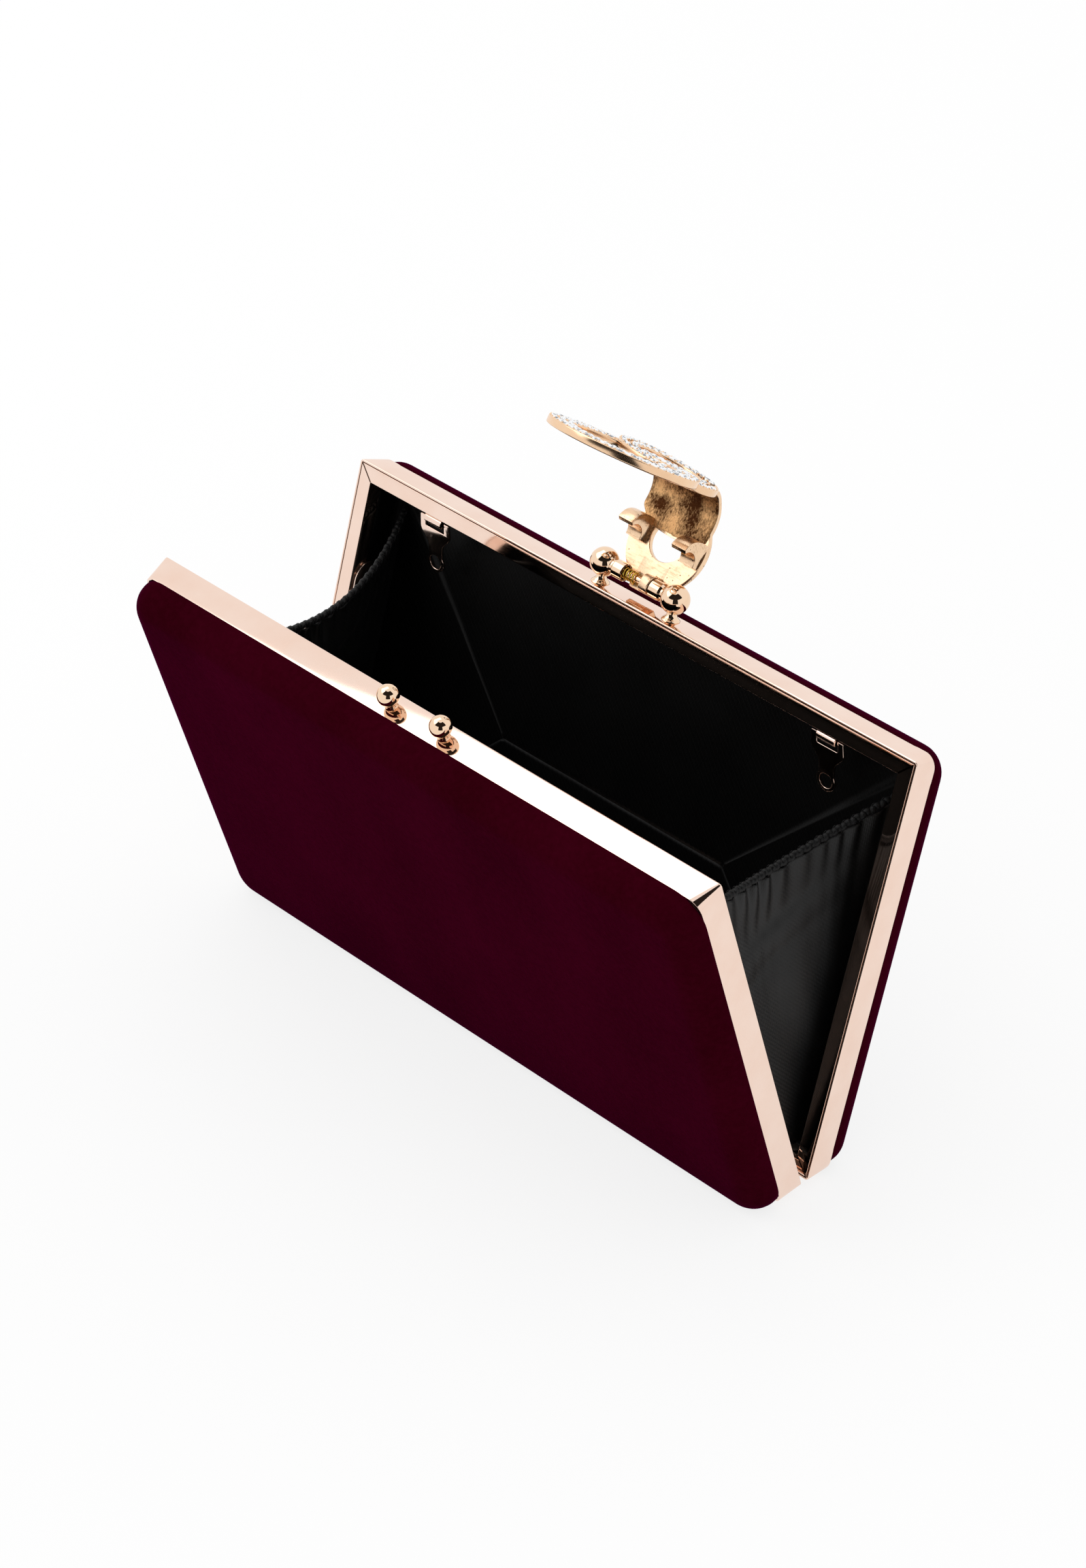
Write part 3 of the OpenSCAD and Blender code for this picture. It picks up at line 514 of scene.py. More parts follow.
def polished_plate(name, colour, rough_low, rough_high, wave=0.00002, marks=True):
    """Plated and polished metal: slow waves of the polishing wheel, faint smears, and dark marks where the
    seam
    attribute says: mitre seams, and painted shade in the groove."""
    material, tree = blank(name)
    place = place_socket(tree)
    smear = noise(tree, place, 90, 5, 0.6)
    fine = noise(tree, place, 2600, 2)
    slow = noise(tree, place, 130, 1.5)
    normal = bumped(tree, fine, 0.06, 0.00001, bumped(tree, slow, 0.2, wave))
    deeper = tuple(c * c * 0.96 for c in colour)
    base = blended(tree, spread(tree, smear, 0.35, 0.75, 0.0, 0.25), colour, deeper)
    if marks:
        seam = add(tree, "ShaderNodeAttribute", {"attribute_name": "seam"}).outputs["Fac"]
        # dark where the seam attribute is set: the mitre seams, and painted shade in the groove
        base = blended(tree, spread(tree, seam, 0.86, 0.94, 0, 1), base, (0.07, 0.035, 0.02))
    roughness = spread(tree, smear, 0.3, 0.75, rough_low, rough_high)
    finish_tree(tree, Base_Color=base, Metallic=1.0, Roughness=roughness, Normal=normal)
    return material


def cast_metal(name, colour, shade):
    """Cast and lightly tumbled metal: scratches across the plate, pits, and a darker tone in the lows."""
    material, tree = blank(name)
    place = place_socket(tree)
    streaks = noise(tree, place_socket(tree, scale=(0.12, 1.0, 0.5), turn=0.3), 2300, 4, 0.7)
    pits = add(tree, "ShaderNodeTexVoronoi", Vector=place, Scale=1500).outputs["Distance"]
    patches = noise(tree, place, 240, 4, 0.6)
    dirt = combined(tree, "MULTIPLY", spread(tree, streaks, 0.5, 0.72, 0, 1),
                    spread(tree, patches, 0.42, 0.66, 0.0, 0.8))
    base = blended(tree, dirt, colour, shade)
    specks = add(tree, "ShaderNodeTexVoronoi", Vector=place, Scale=620, Randomness=1.0).outputs["Distance"]
    base = blended(tree, spread(tree, specks, 0.10, 0.14, 0.75, 0.0), base, (0.10, 0.05, 0.02))
    normal = bumped(tree, pits, 0.3, 0.00004, bumped(tree, streaks, 0.35, 0.00004))
    finish_tree(tree, Base_Color=base, Metallic=1.0, Roughness=spread(tree, patches, 0.3, 0.7, 0.16, 0.34),
                Normal=normal)
    return material


def rough_cast(name, colour, shade):
    """The untumbled inside of a casting: coarse grain drawn along the arch, and wide dark patches that are
    painted reflections of the dark surroundings.
    """
    material, tree = blank(name)
    grain = noise(tree, place_socket(tree, scale=(1.0, 0.55, 0.55), turn=0.4), 2400, 4, 0.75)
    # wide noise patches that paint dark reflections into the colour
    wide = noise(tree, place_socket(tree), 125, 3, 0.55)
    mixed = combined(tree, "MULTIPLY_ADD", grain, 0.55, wide)
    base = blended(tree, spread(tree, mixed, 0.68, 0.90, 0.0, 1.0), shade, colour)
    normal = bumped(tree, grain, 0.8, 0.00012)
    finish_tree(tree, Base_Color=base, Metallic=1.0, Roughness=spread(tree, grain, 0.35, 0.65, 0.62, 0.42),
                Normal=normal)
    return material


def velvet_cloth(name, look):
    """Short pile: a nap brushed in soft patches, fine fibre grain, and a glow along the edges."""
    material, tree = blank(name)
    place = place_socket(tree)
    nap = noise(tree, place_socket(tree, scale=(1.0, 1.0, 0.55)), 34, 4, 0.6)
    grain = noise(tree, place, 2400, 2, 0.7)
    tufts = noise(tree, place, 700, 3, 0.65)
    mottle = combined(tree, "ADD", spread(tree, nap, 0.35, 0.7, 0, 0.7),
                      spread(tree, tufts, 0.35, 0.7, -0.1, 0.45))
    base = blended(tree, mottle, look.velvet_deep, look.velvet_light)
    normal = bumped(tree, grain, 0.7, 0.00012, bumped(tree, tufts, 0.5, 0.00018))
    finish_tree(tree, Base_Color=base, Roughness=1.0, Sheen_Weight=0.16, Sheen_Roughness=0.28,
                Sheen_Tint=(*look.velvet_sheen, 1), Specular_IOR_Level=0.0, Normal=normal)
    return material


def satin_twill(name, colour, ribs, gloss, sheen):
    """Black twill satin: diagonal ribs across the cloth's UV map, broken by threads, with a soft gloss."""
    material, tree = blank(name)
    cloth = place_socket(tree, uv=True)
    across = add(tree, "ShaderNodeTexWave", {"wave_type": "BANDS", "bands_direction": "DIAGONAL"},
                 Vector=cloth, Scale=ribs, Distortion=0.6, Detail=1.0, Detail_Scale=2.0).outputs["Fac"]
    thread = add(tree, "ShaderNodeTexWave", {"wave_type": "BANDS", "bands_direction": "X"},
                 Vector=cloth, Scale=ribs * 1.7).outputs["Fac"]
    weave = combined(tree, "MULTIPLY", across, thread)
    soft = noise(tree, place_socket(tree), 45, 3)
    base = blended(tree, spread(tree, weave, 0.2, 0.9, 0, 0.8), colour, tuple(3.2 * c for c in colour))
    normal = bumped(tree, weave, 0.5, 0.00006, bumped(tree, soft, 0.2, 0.0005))
    roughness = spread(tree, soft, 0.3, 0.7, 0.42, 0.56)
    finish_tree(tree, Base_Color=base, Roughness=roughness, Specular_IOR_Level=gloss, Sheen_Weight=sheen,
                Sheen_Roughness=0.5, Sheen_Tint=(0.5, 0.5, 0.53, 1), Normal=normal)
    return material


def clear_stone(name, colour):
    """A foiled clear stone: bright facets with a little colour from glass over the foil."""
    material, tree = blank(name)
    place = place_socket(tree)
    flecks = noise(tree, place, 1150, 1)
    base = blended(tree, spread(tree, flecks, 0.5, 0.62, 0, 1), colour, (0.26, 0.27, 0.29))
    finish_tree(tree, Base_Color=base, Metallic=0.75, Roughness=0.06, Coat_Weight=1.0, Coat_Roughness=0.02)
    return material


def dull_stuff(name, colour, dark, scale, bump):
    """A plain material with its grain: hidden board and foam, and the painted shade on the stones' lower
    faces.
    """
    material, tree = blank(name)
    place = place_socket(tree)
    grain = noise(tree, place, scale, 5, 0.65)
    finish_tree(tree, Base_Color=blended(tree, grain, dark, colour), Roughness=0.85,
                Normal=bumped(tree, grain, 0.5, bump))
    return material


_made = {}


def finish_of(name):
    """A finish by name, made once from the scene's colours."""
    look = bpy.context.scene.clutch_finishes
    makers = {
        "frame metal": lambda n: polished_plate(n, tuple(look.rose_gold), 0.035, 0.075, 0.000008),
        "plain metal": lambda n: polished_plate(n, tuple(look.rose_gold), 0.08, 0.2, marks=False),
        "ball metal": lambda n: polished_plate(n, tuple(look.ball_gold), 0.02, 0.06, 0.000004, marks=False),
        "clasp metal": lambda n: cast_metal(n, tuple(look.cast_gold), tuple(look.cast_shade)),
        # rough grain, with painted dark reflections, for the arch's inside
        "rough casting": lambda n: rough_cast(n, tuple(look.rough_gold), tuple(look.painted_arch_reflection)),
        "ring metal": lambda n: polished_plate(n, tuple(look.cast_gold), 0.1, 0.3, 0.00003, marks=False),
        "spring wire": lambda n: polished_plate(n, tuple(look.spring_brass), 0.15, 0.3, marks=False),
        "velvet": lambda n: velvet_cloth(n, look),
        "lining satin": lambda n: satin_twill(n, tuple(look.lining), 380.0, 0.12, 0.008),
        "gusset satin": lambda n: satin_twill(n, tuple(look.gusset), 520.0, 0.42, 0.02),
        "elastic": lambda n: satin_twill(n, tuple(look.gusset), 700.0, 0.25, 0.06),
        "clear stone": lambda n: clear_stone(n, tuple(look.stone)),
        # painted shade between the stones: a dark colour on their lower faces that outlines each stone
        "stone seat": lambda n: dull_stuff(n, (0.16, 0.13, 0.10), (0.05, 0.04, 0.03), 2500, 0.00005),
        "fibre board": lambda n: dull_stuff(n, (0.35, 0.25, 0.16), (0.22, 0.15, 0.09), 900, 0.0002),
        "foam": lambda n: dull_stuff(n, (0.6, 0.58, 0.52), (0.4, 0.38, 0.34), 1500, 0.0003),
    }
    if name not in _made:
        _made[name] = makers[name](name)
    return _made[name]


# Pieces


def metal_frame(case, rear):
    """One frame: the band, rim, groove and lip as one outline, carried round the rectangle with corners that
    widen with depth. The rim's corners are marked as dark mitre seams, and the groove is marked too, which
    paints shade into it."""
    g, gw = case.groove_place, case.groove_width
    t, rim, lip = case.sheet, case.rim_width, case.lip_depth
    band = case.band_depth
    corners = [(0, band), (0, 0), (g, 0), (g + gw * 0.2, gw * 0.8), (g + gw * 0.8, gw * 0.8), (g + gw, 0),
               (rim, 0), (rim, lip), (rim - t, lip), (rim - t, t), (t, t), (t, band)]
    radii = np.array([0.12, 0.4, 0.05, 0.04, 0.04, 0.05, 0.32, 0.15, 0.15, 0.3, 0.3, 0.12]) * MM
    outline = fillet(corners, radii)
    inset, depth = outline[:, 0], outline[:, 1]
    side_steps, arc_steps = 84, 8
    radius = case.rim_corner + (case.band_corner - case.rim_corner) * depth / band - inset
    points = half_loops(case, -inset, depth, np.maximum(radius, 0.12 * MM), side_steps, arc_steps)
    seam = np.zeros(points.shape[:2])
    loop = points.shape[1] // 4
    on_rim = (depth < 0.05 * MM) & (inset > g + gw)
    for step in range(arc_steps + 1):
        seam[np.ix_(on_rim, np.arange(4) * loop + step)] = 1.0
    # the groove's bottom is marked so that it is painted dark: painted shade in the recess
    painted_groove_shade = (depth > 0.1 * MM) & (inset > g) & (inset < g + gw)
    seam[painted_groove_shade] = 1.0
    side = half_name(rear)
    piece = skin(side + "_frame_metal", in_half(case, points, rear), (True, True), sharp=50)
    attribute = piece.data.attributes.new("seam", "FLOAT", "POINT")
    attribute.data.foreach_set("value", seam.astype(np.float32).ravel())
    return dress(piece, side + "_half", finish_of("frame metal"), "frame_metal", side + "_frame")


def velvet_cover(case, rear):
    """The velvet shell: a turned-in front edge, a quarter-round back edge and a face with a slight crown. The
    rear one stands out less, and its corners have less radius so that they still cover the foam."""
    edge, over, depth = case.shell_edge, case.cover_over, case.shell_depth
    start, corner = case.band_depth, case.shell_corner
    rear_over, rear_tighter = 0.2 * MM, 1.0 * MM
    if rear:
        over, corner = rear_over, corner - rear_tighter
    tuck = np.array([[-0.5 * MM, start - 0.15 * MM], [-0.1 * MM, start - 0.12 * MM],
                     [over * 0.55, start + 0.02 * MM], [over * 0.92, start + 0.3 * MM],
                     [over, start + 0.6 * MM]])
    a = np.linspace(0, math.pi / 2, 15)
    bend = np.column_stack([over - edge + edge * np.cos(a), depth - edge + edge * np.sin(a)])
    flat = np.linspace(edge, case.height / 2 + over, 26)[1:]
    face = np.column_stack([over - flat, np.full(len(flat), depth)])
    profile = np.concatenate([tuck, bend, face])
    inset = over - profile[:, 0]
    points = half_loops(case, profile[:, 0], profile[:, 1], np.maximum(corner - inset, 0), 40, 10)
    x = points[..., 0] / case.half_length
    v = points[..., 1] / case.height * 2 - 1
    crown = np.clip(1 - x ** 4, 0, 1) * np.clip(1 - v ** 4, 0, 1)
    points[..., 2] += 0.35 * MM * crown * (points[..., 2] > depth - 0.5 * edge)
    side = half_name(rear)
    piece = skin(side + "_velvet_cover", in_half(case, points, rear), (False, True), sharp=180, weld=2e-6)
    thicken(piece, 0.6 * MM, -1)
    return dress(piece, side + "_half", finish_of("velvet"), "velvet", side + "_velvet")


def satin_lining(case, rear):
    """The lining: walls behind the lip, a soft inner edge and a floor that lies in slow shallow waves."""
    inset, floor = case.lining_inset, case.lining_floor
    start, bend = case.lip_depth + 0.05 * MM, 1.6 * MM
    walls = np.column_stack([np.full(6, -inset), np.linspace(start, floor - bend, 6)])
    a = np.linspace(0, math.pi / 2, 7)[1:]
    turn = np.column_stack([-inset - bend * (1 - np.cos(a)), floor - bend * (1 - np.sin(a))])
    in_from = np.linspace(inset + bend, case.height / 2, 40)[1:]
    face = np.column_stack([-in_from, np.full(len(in_from), floor)])
    profile = np.concatenate([walls, turn, face])
    radius = np.maximum(2.6 * MM - (-profile[:, 0] - inset), 0)
    points = half_loops(case, profile[:, 0], profile[:, 1], radius, 60, 6)
    x, v = points[..., 0], points[..., 1]
    wave = np.sin(x * 190 + np.sin(v * 130) * 1.3) * np.sin(v * 160 + x * 40 + 0.7)
    away = np.clip((-profile[:, 0] - inset - bend) / (8 * MM), 0, 1)[:, None]
    points[..., 2] -= (0.10 * MM + 0.10 * MM * wave) * away
    row = in_half(case, points, rear)
    uv = np.stack([x, v + points[..., 2]], -1).reshape(-1, 2)
    side = half_name(rear)
    piece = skin(side + "_satin_lining", row, (False, True), inward=True, sharp=180, uv=uv)
    thicken(piece, 0.25 * MM, -1)
    return dress(piece, side + "_half", finish_of("lining satin"), "satin", side + "_lining")


def gusset_surface(case, gusset, side, u, h):
    """Gusset points, u from rear to front and h from bottom to top. The sheet folds inwards by 4u(1-u) and
    sags by the same curve."""
    s, c = math.sin(case.lean), math.cos(case.lean)
    v = gusset.low + (gusset.top - gusset.low) * h + case.pin_drop
    w = gusset.seam_depth + case.rim_gap / 2
    bow = 4 * u * (1 - u)
    mid = gusset.mid_low + (gusset.mid_top - case.hinge_z - gusset.mid_low) * h
    edge_z = v * c - w * s
    return np.stack([side * (gusset.place - gusset.fold * h * bow),
                     case.hinge_y + (v * s + w * c) * (1 - 2 * u),
                     case.hinge_z + edge_z * (1 - bow) + mid * bow], -1)


def gusset_cloth(case, gusset, side):
    """The satin end: the folded sheet with gathers under the elastic, slanting folds and one long crease."""
    u, h = np.meshgrid(np.linspace(0, 1, 181), np.linspace(0, 1, 91))
    points = gusset_surface(case, gusset, side, u, h)
    n = gusset.gathers
    phase = 2 * math.pi * n * (u + 0.012 * np.sin(9 * u) + 0.01 * np.sin(23 * u + 1))
    fan = np.sin(phase + 1.1 * (1 - h) * np.sin(3 * u)) * (0.65 + 0.35 * np.sin(7.3 * u * n / 9 + 0.8))
    fade = h ** 12 * 0.9 + 0.10 * h ** 4
    fall = u + 0.55 * (1 - h) + 0.05 * np.sin(7 * h + 4 * u)
    soft = np.sin(2 * math.pi * 1.55 * fall + 0.6) * np.sin(math.pi * h) * 1.5
    soft += 0.5 * np.sin(2 * math.pi * 4.3 * (fall + 0.06 * np.sin(5 * u)) + 1.0) * np.sin(math.pi * h) * h
    line = h - 0.66 - 0.24 * (1 - u) - 0.02 * np.sin(6 * u)
    ledge = 4.2 * (1 + np.tanh(line / 0.02)) / 2 * (1 - smooth((h - 0.80) / 0.2))
    crease = ledge + np.exp(-((line + 0.10) / 0.03) ** 2)
    crease = crease * np.clip((1 - u) * 5, 0, 1) * smooth(u / 0.45)
    pinned = np.clip(4 * u * (1 - u) * 2.2, 0, 1)
    push = (gusset.gather_size * fan * fade + 0.45 * MM * soft + 0.35 * MM * crease) * pinned
    points[..., 0] -= side * push
    points[..., 2] += 0.25 * MM * np.cos(phase) * h ** 8 * pinned
    uv = np.stack([points[..., 1] * 1.1, points[..., 2]], -1).reshape(-1, 2)
    piece = skin("gusset_satin_" + hand(side), points, (False, False), sharp=180, uv=uv)
    thicken(piece, 0.35 * MM, 0)
    return piece


def zigzag(k):
    """A wave of straight lines between -1 and 1: 2/pi arcsin(sin k)."""
    return 2 / math.pi * np.arcsin(np.sin(k))


def elastic_edge(case, gusset, side):
    """The gathered elastic hem: a tube along the top edge whose radius and place ripple with the stitches."""
    u = np.linspace(0, 1, 420)
    path = gusset_surface(case, gusset, side, u, np.ones_like(u))
    path[:, 2] += gusset.elastic
    k = 2 * math.pi * STITCHES * u
    path[:, 0] -= side * (0.2 * MM + 0.28 * MM * zigzag(k))
    path[:, 2] += 0.12 * MM * np.sin(2 * k)
    radius = gusset.elastic * (0.86 + 0.12 * np.sin(2 * k + 0.5))
    rings = capped(tube(path, radius, 12))
    along = np.linspace(0, 0.08, len(rings))[:, None]
    around = np.linspace(0, 0.006, rings.shape[1])[None]
    uv = np.stack(np.broadcast_arrays(along, around), -1).reshape(-1, 2)
    return skin("elastic_hem_" + hand(side), rings, (False, True), sharp=180, uv=uv)


def zigzag_thread(case, gusset, side):
    """The stitch on the elastic: a thread that crosses the hem's outside from low to high and back."""
    u = np.linspace(0.01, 0.99, 700)
    path = gusset_surface(case, gusset, side, u, np.ones_like(u))
    k = 2 * math.pi * STITCHES * u
    swing = zigzag(k) * 0.95
    reach = gusset.elastic * 0.98
    path[:, 0] -= side * (0.2 * MM + 0.28 * MM * zigzag(k) + reach * np.cos(swing))
    path[:, 2] += gusset.elastic + reach * np.sin(swing)
    return skin("hem_thread_" + hand(side), capped(tube(path, 0.13 * MM, 5)), (False, True), sharp=180)


def ball_profile(radius, rise, case, foot_radius=1.6 * MM):
    """Outline of a ball stud from its rivet to the ball's top: a straight shank, a dished foot as wide as the
    foot's radius, and the ball's arc."""
    t = case.sheet
    shank, neck = 0.9 * MM, 1.15 * MM
    foot = [(0, -t - 0.5 * MM), (1.2 * MM, -t - 0.5 * MM), (1.4 * MM, -t - 0.3 * MM), (1.4 * MM, -t),
            (shank, -t), (shank, -0.01 * MM), (foot_radius - 0.05 * MM, 0.0), (foot_radius, 0.08 * MM),
            (foot_radius - 0.1 * MM, 0.25 * MM), (foot_radius * 0.55 + 0.6 * MM, 0.5 * MM),
            (1.35 * MM, 1.0 * MM)]
    start = math.asin(neck / radius)
    a = np.linspace(start, math.pi, 30)
    arc = np.column_stack([radius * np.sin(a), rise - radius * np.cos(a)])
    return np.concatenate([foot, arc])


def on_band(case, x):
    """Takes points of a stud, standing on z = 0, to x on a half's top band, as x, v and w."""
    return lambda p: np.stack([x + p[..., 0], case.height + p[..., 2], case.band_depth / 2 - p[..., 1]], -1)


def catch_ball(case, clasp, side):
    """A ball of the front half that a hook of the clasp snaps over."""
    rings = turned(ball_profile(clasp.catch_ball, clasp.catch_rise, case))
    points = in_half(case, on_band(case, side * clasp.catch_span / 2)(rings), False)
    name = hand(side)
    piece = skin("catch_ball_" + name, points, (False, True), weld=2e-6, sharp=40)
    return dress(piece, "front_half", finish_of("ball metal"), "frame_metal", "front_stud_" + name)


def pivot_ball(case, clasp, side):
    """A ball of the rear half, and the barrel with its stepped collar that carries the clasp's axle."""
    radius, foot_radius = clasp.pivot_ball + 0.3 * MM, 2.3 * MM
    rings = turned(ball_profile(radius, clasp.pivot_rise, case, foot_radius))
    place = on_band(case, side * clasp.pivot_span / 2)
    name = hand(side)
    ball = skin("pivot_ball_" + name, in_half(case, place(rings), True), (False, True), weld=2e-6, sharp=40)
    r = clasp.barrel
    reach = (clasp.pivot_span - clasp.barrel_gap) / 2
    bore = r - 0.5 * MM if side < 0 else 0.8 * MM
    depth = 3.0 * MM
    profile = [(0, 0), (r * 0.8, 0), (r * 0.8, radius), (r * 0.93, radius + 0.3 * MM), (r, radius + 0.5 * MM),
               (r, reach - 0.25 * MM), (r - 0.2 * MM, reach), (bore + 0.1 * MM, reach),
               (bore, reach - 0.12 * MM), (bore, reach - depth), (0, reach - depth)]
    barrel = turned(profile, 40)
    x = -side * barrel[..., 2]
    turned_over = np.stack([x, barrel[..., 1], clasp.pivot_rise + barrel[..., 0]], -1)
    barrel_row = in_half(case, place(turned_over), True)
    barrel_piece = skin("pivot_barrel_" + name, barrel_row, (False, True), weld=2e-6, sharp=30)
    dress(barrel_piece, "rear_half", finish_of("ball metal"), "frame_metal")
    return dress(ball, "rear_half", finish_of("ball metal"), "frame_metal", "rear_stud_" + name)


def crescent_plate(clasp):
    """The crescent: a disc with an off-centre hole and rounded edges. Each ring of points is a mix of the two
    circles, hole (1-k) + rim k."""
    t = clasp.plate
    k = np.array([0.0, 0.03, 0.5, 0.97, 1.0, 1.0, 0.97, 0.5, 0.03, 0.0])
    z = np.array([-0.28, -0.5, -0.5, -0.5, -0.28, 0.28, 0.5, 0.5, 0.5, 0.28]) * t
    a = np.arange(96) * 2 * math.pi / 96
    hole = np.stack([clasp.hole * np.cos(a), clasp.hole_rise + clasp.hole * np.sin(a)], -1)
    rim = np.stack([clasp.crescent * np.cos(a), clasp.crescent_rise + clasp.crescent * np.sin(a)], -1)
    ring = hole[None] * (1 - k)[:, None, None] + rim[None] * k[:, None, None]
    middle = -clasp.plate_back + t / 2
    points = np.concatenate([ring, np.broadcast_to((middle + z)[:, None, None], ring.shape[:2] + (1,))], 2)
    return skin("clasp_crescent", in_clasp(clasp, points), (True, True), sharp=40)


def clasp_arch(clasp):
    """The arch: a strip that rises along the plate, then by a circle, r sin a in t and r (1 - cos a) in s.
    Its inside stands a little proud of the plate at the foot, its sides flare to the rings, and each column
    stops at its own angle, which leaves a notch in the top edge."""
    thick, radius = clasp.plate, clasp.arch + 0.25 * MM
    bend_rise = clasp.reach - clasp.arch - 0.9 * MM
    middle = thick / 2 - clasp.plate_back
    across = np.linspace(-1, 1, 47)
    foot_rows, bend_rows = 28, 34
    k = np.linspace(0, 1, foot_rows + bend_rows)[:, None]
    width = clasp.arch_width / 2 - (0.9 - 0.9 * smooth(k / 0.3) - 1.3 * smooth((k - 0.7) / 0.3)) * MM
    x = width * across[None] - clasp.arch_shift * smooth(k / 0.4)
    foot_bow, foot_middle = 22.0, -1.0 * MM
    low = clasp.foot_rise + foot_bow * (x[:1] - foot_middle) ** 2
    notch_place, notch_half = 1.4 * MM, 3.3 * MM
    notch = np.clip(1 - np.abs(x[-1:] - notch_place) / notch_half, 0, 1)
    last = math.radians(100) - math.radians(40) * notch
    climb = np.linspace(0, 1, foot_rows, endpoint=False)[:, None]
    angle = np.linspace(0, 1, bend_rows)[:, None] * last
    rise = np.concatenate([low + (bend_rise - low) * climb, bend_rise + radius * np.sin(angle)])
    front = np.concatenate([np.full((foot_rows, len(across)), middle), middle + radius * (1 - np.cos(angle))])
    turn = np.concatenate([np.zeros((foot_rows, len(across))), angle])
    proud = 0.24 * MM * (1 - smooth(turn / 0.8))
    soft = 1 - 0.45 * (np.abs(across) > 0.999)[None]
    faces = []
    half = thick / 2 * soft
    for lift, columns in ((half + proud, slice(None)), (-half, slice(None, None, -1))):
        t, s = rise - lift * np.sin(turn), front + lift * np.cos(turn)
        faces.append(np.stack([x, t, s], -1)[:, columns])
    return strip("clasp_arch", in_clasp(clasp, np.concatenate(faces, 1)), sharp=40, weld=1e-6)


def shade_inside(clasp, arch):
    """Gives the rough finish, with its painted dark reflections, to the arch's faces above its foot that look
    at the middle of its bend.
    """
    mesh = arch.data
    centre, normal = np.zeros(len(mesh.polygons) * 3), np.zeros(len(mesh.polygons) * 3)
    mesh.polygons.foreach_get("center", centre)
    mesh.polygons.foreach_get("normal", normal)
    sn, cs = math.sin(clasp.lean), math.cos(clasp.lean)
    y, z = centre[1::3] - clasp.pivot_y, centre[2::3] - clasp.pivot_z
    t, s = y * sn + z * cs, z * sn - y * cs
    t_normal, s_normal = normal[1::3] * sn + normal[2::3] * cs, normal[2::3] * sn - normal[1::3] * cs
    to_t, to_s = clasp.reach - clasp.arch - t, clasp.arch - clasp.plate_back - s
    looks_in = (to_t * t_normal + to_s * s_normal > 0) & (np.abs(normal[::3]) < 0.7)
    inside = (t > clasp.foot_rise + 0.5 * MM) & looks_in
    mesh.polygons.foreach_set("material_index", inside.astype(np.int32))


def clasp_hook(clasp, case, side):
    """A hook: a bracket out of the plate, hollowed by an arc round the catch ball's shut place. Its outside
    is the curve (1-k)^2 tip + 2k(1-k) knee + k^2 root."""
    rise = case.band_depth + case.rim_gap
    drop = clasp.pivot_rise - clasp.catch_rise
    slack = math.radians(3)
    t0 = rise * math.cos(slack) - drop * math.sin(slack)
    s0 = rise * math.sin(slack) + drop * math.cos(slack)
    r, wall = clasp.catch_ball + 0.2 * MM, 0.95 * MM
    back = -clasp.plate_back + clasp.plate - s0 - 0.2 * MM
    wrap_angle = math.radians(48)
    a = np.linspace(0, wrap_angle, 10)
    inner = np.column_stack([r * np.cos(a), r * np.sin(a)])
    tip = (r + wall) * np.array([math.cos(a[-1]), math.sin(a[-1])])
    knee, root = np.array([6.7 * MM, 2.0 * MM]), np.array([6.2 * MM, back])
    k = np.linspace(0, 1, 16)[:, None]
    outer = (1 - k) ** 2 * tip + 2 * k * (1 - k) * knee + k ** 2 * root
    down = np.linspace(-math.pi / 2, 0, 12)[:-1]
    wrap = np.column_stack([r * np.cos(down), r * np.sin(down)])
    outline = np.concatenate([[[0, back]], wrap, inner, outer])
    width, middle = 4.5 * MM, side * clasp.catch_span / 2

    def place(p):
        return in_clasp(clasp, np.stack([middle + p[:, 2], t0 + p[:, 0], s0 + p[:, 1]], -1))

    return cut_plate("clasp_hook_" + hand(side), [outline], width, 0.22 * MM, place)


def clasp_knuckle(clasp):
    """The clasp's foot: the plate runs down behind the axle and grows into a short barrel round it."""
    r, back = clasp.barrel, -clasp.plate_back + 0.01 * MM
    front = back + clasp.plate
    side_gap, barrel_length = 0.2 * MM, 2.6 * MM
    x1 = clasp.barrel_gap / 2 - side_gap
    x0 = x1 - barrel_length
    corners = [(-r, back), (-r, r), (r, r), (2.6 * MM, front), (3.2 * MM, front), (3.2 * MM, back)]
    outline = fillet(corners, [0.1 * MM, r * 0.95, r * 0.9, 0.4 * MM, 0.1 * MM, 0.1 * MM], 8)

    def along_axle(p):
        return in_clasp(clasp, np.stack([(x0 + x1) / 2 + p[:, 2], p[:, 0], p[:, 1]], -1))

    bore = circle(0.85 * MM, steps=24)
    knuckle = cut_plate("clasp_knuckle", [outline, bore], x1 - x0, 0.2 * MM, along_axle)
    w = clasp.barrel_gap - 2 * side_gap
    foot = fillet([(-w / 2, -r), (w / 2, -r), (w / 2, 6 * MM), (-w / 2, 6 * MM)], 0.8 * MM)
    middle = -clasp.plate_back + clasp.plate / 2 + 0.02 * MM
    sole = cut_plate("clasp_foot", [foot], clasp.plate * 0.99, 0.2 * MM,
                     lambda p: in_clasp(clasp, np.stack([p[:, 0], p[:, 1], middle + p[:, 2]], -1)))
    return [knuckle, sole]


def set_ring(clasp, name, radius, band, place, twist):
    """A ring with a raised bead along each edge, between which the stones stand: a section turned about the
    ring's middle."""
    h = clasp.ring / 2
    inner = radius - band
    corners = [(inner, -h * 0.75), (inner + 0.5 * MM, -h), (radius - 0.5 * MM, -h), (radius, -h * 0.75),
               (radius, h), (radius - 0.35 * MM, h + 0.28 * MM), (radius - 0.6 * MM, h - 0.1 * MM),
               (inner + 0.6 * MM, h - 0.1 * MM), (inner + 0.35 * MM, h + 0.28 * MM), (inner, h)]
    section = fillet(corners, 0.16 * MM, 2)
    return skin(name, in_ornament(clasp, turned(section, 120), place, twist), (True, True), sharp=50)


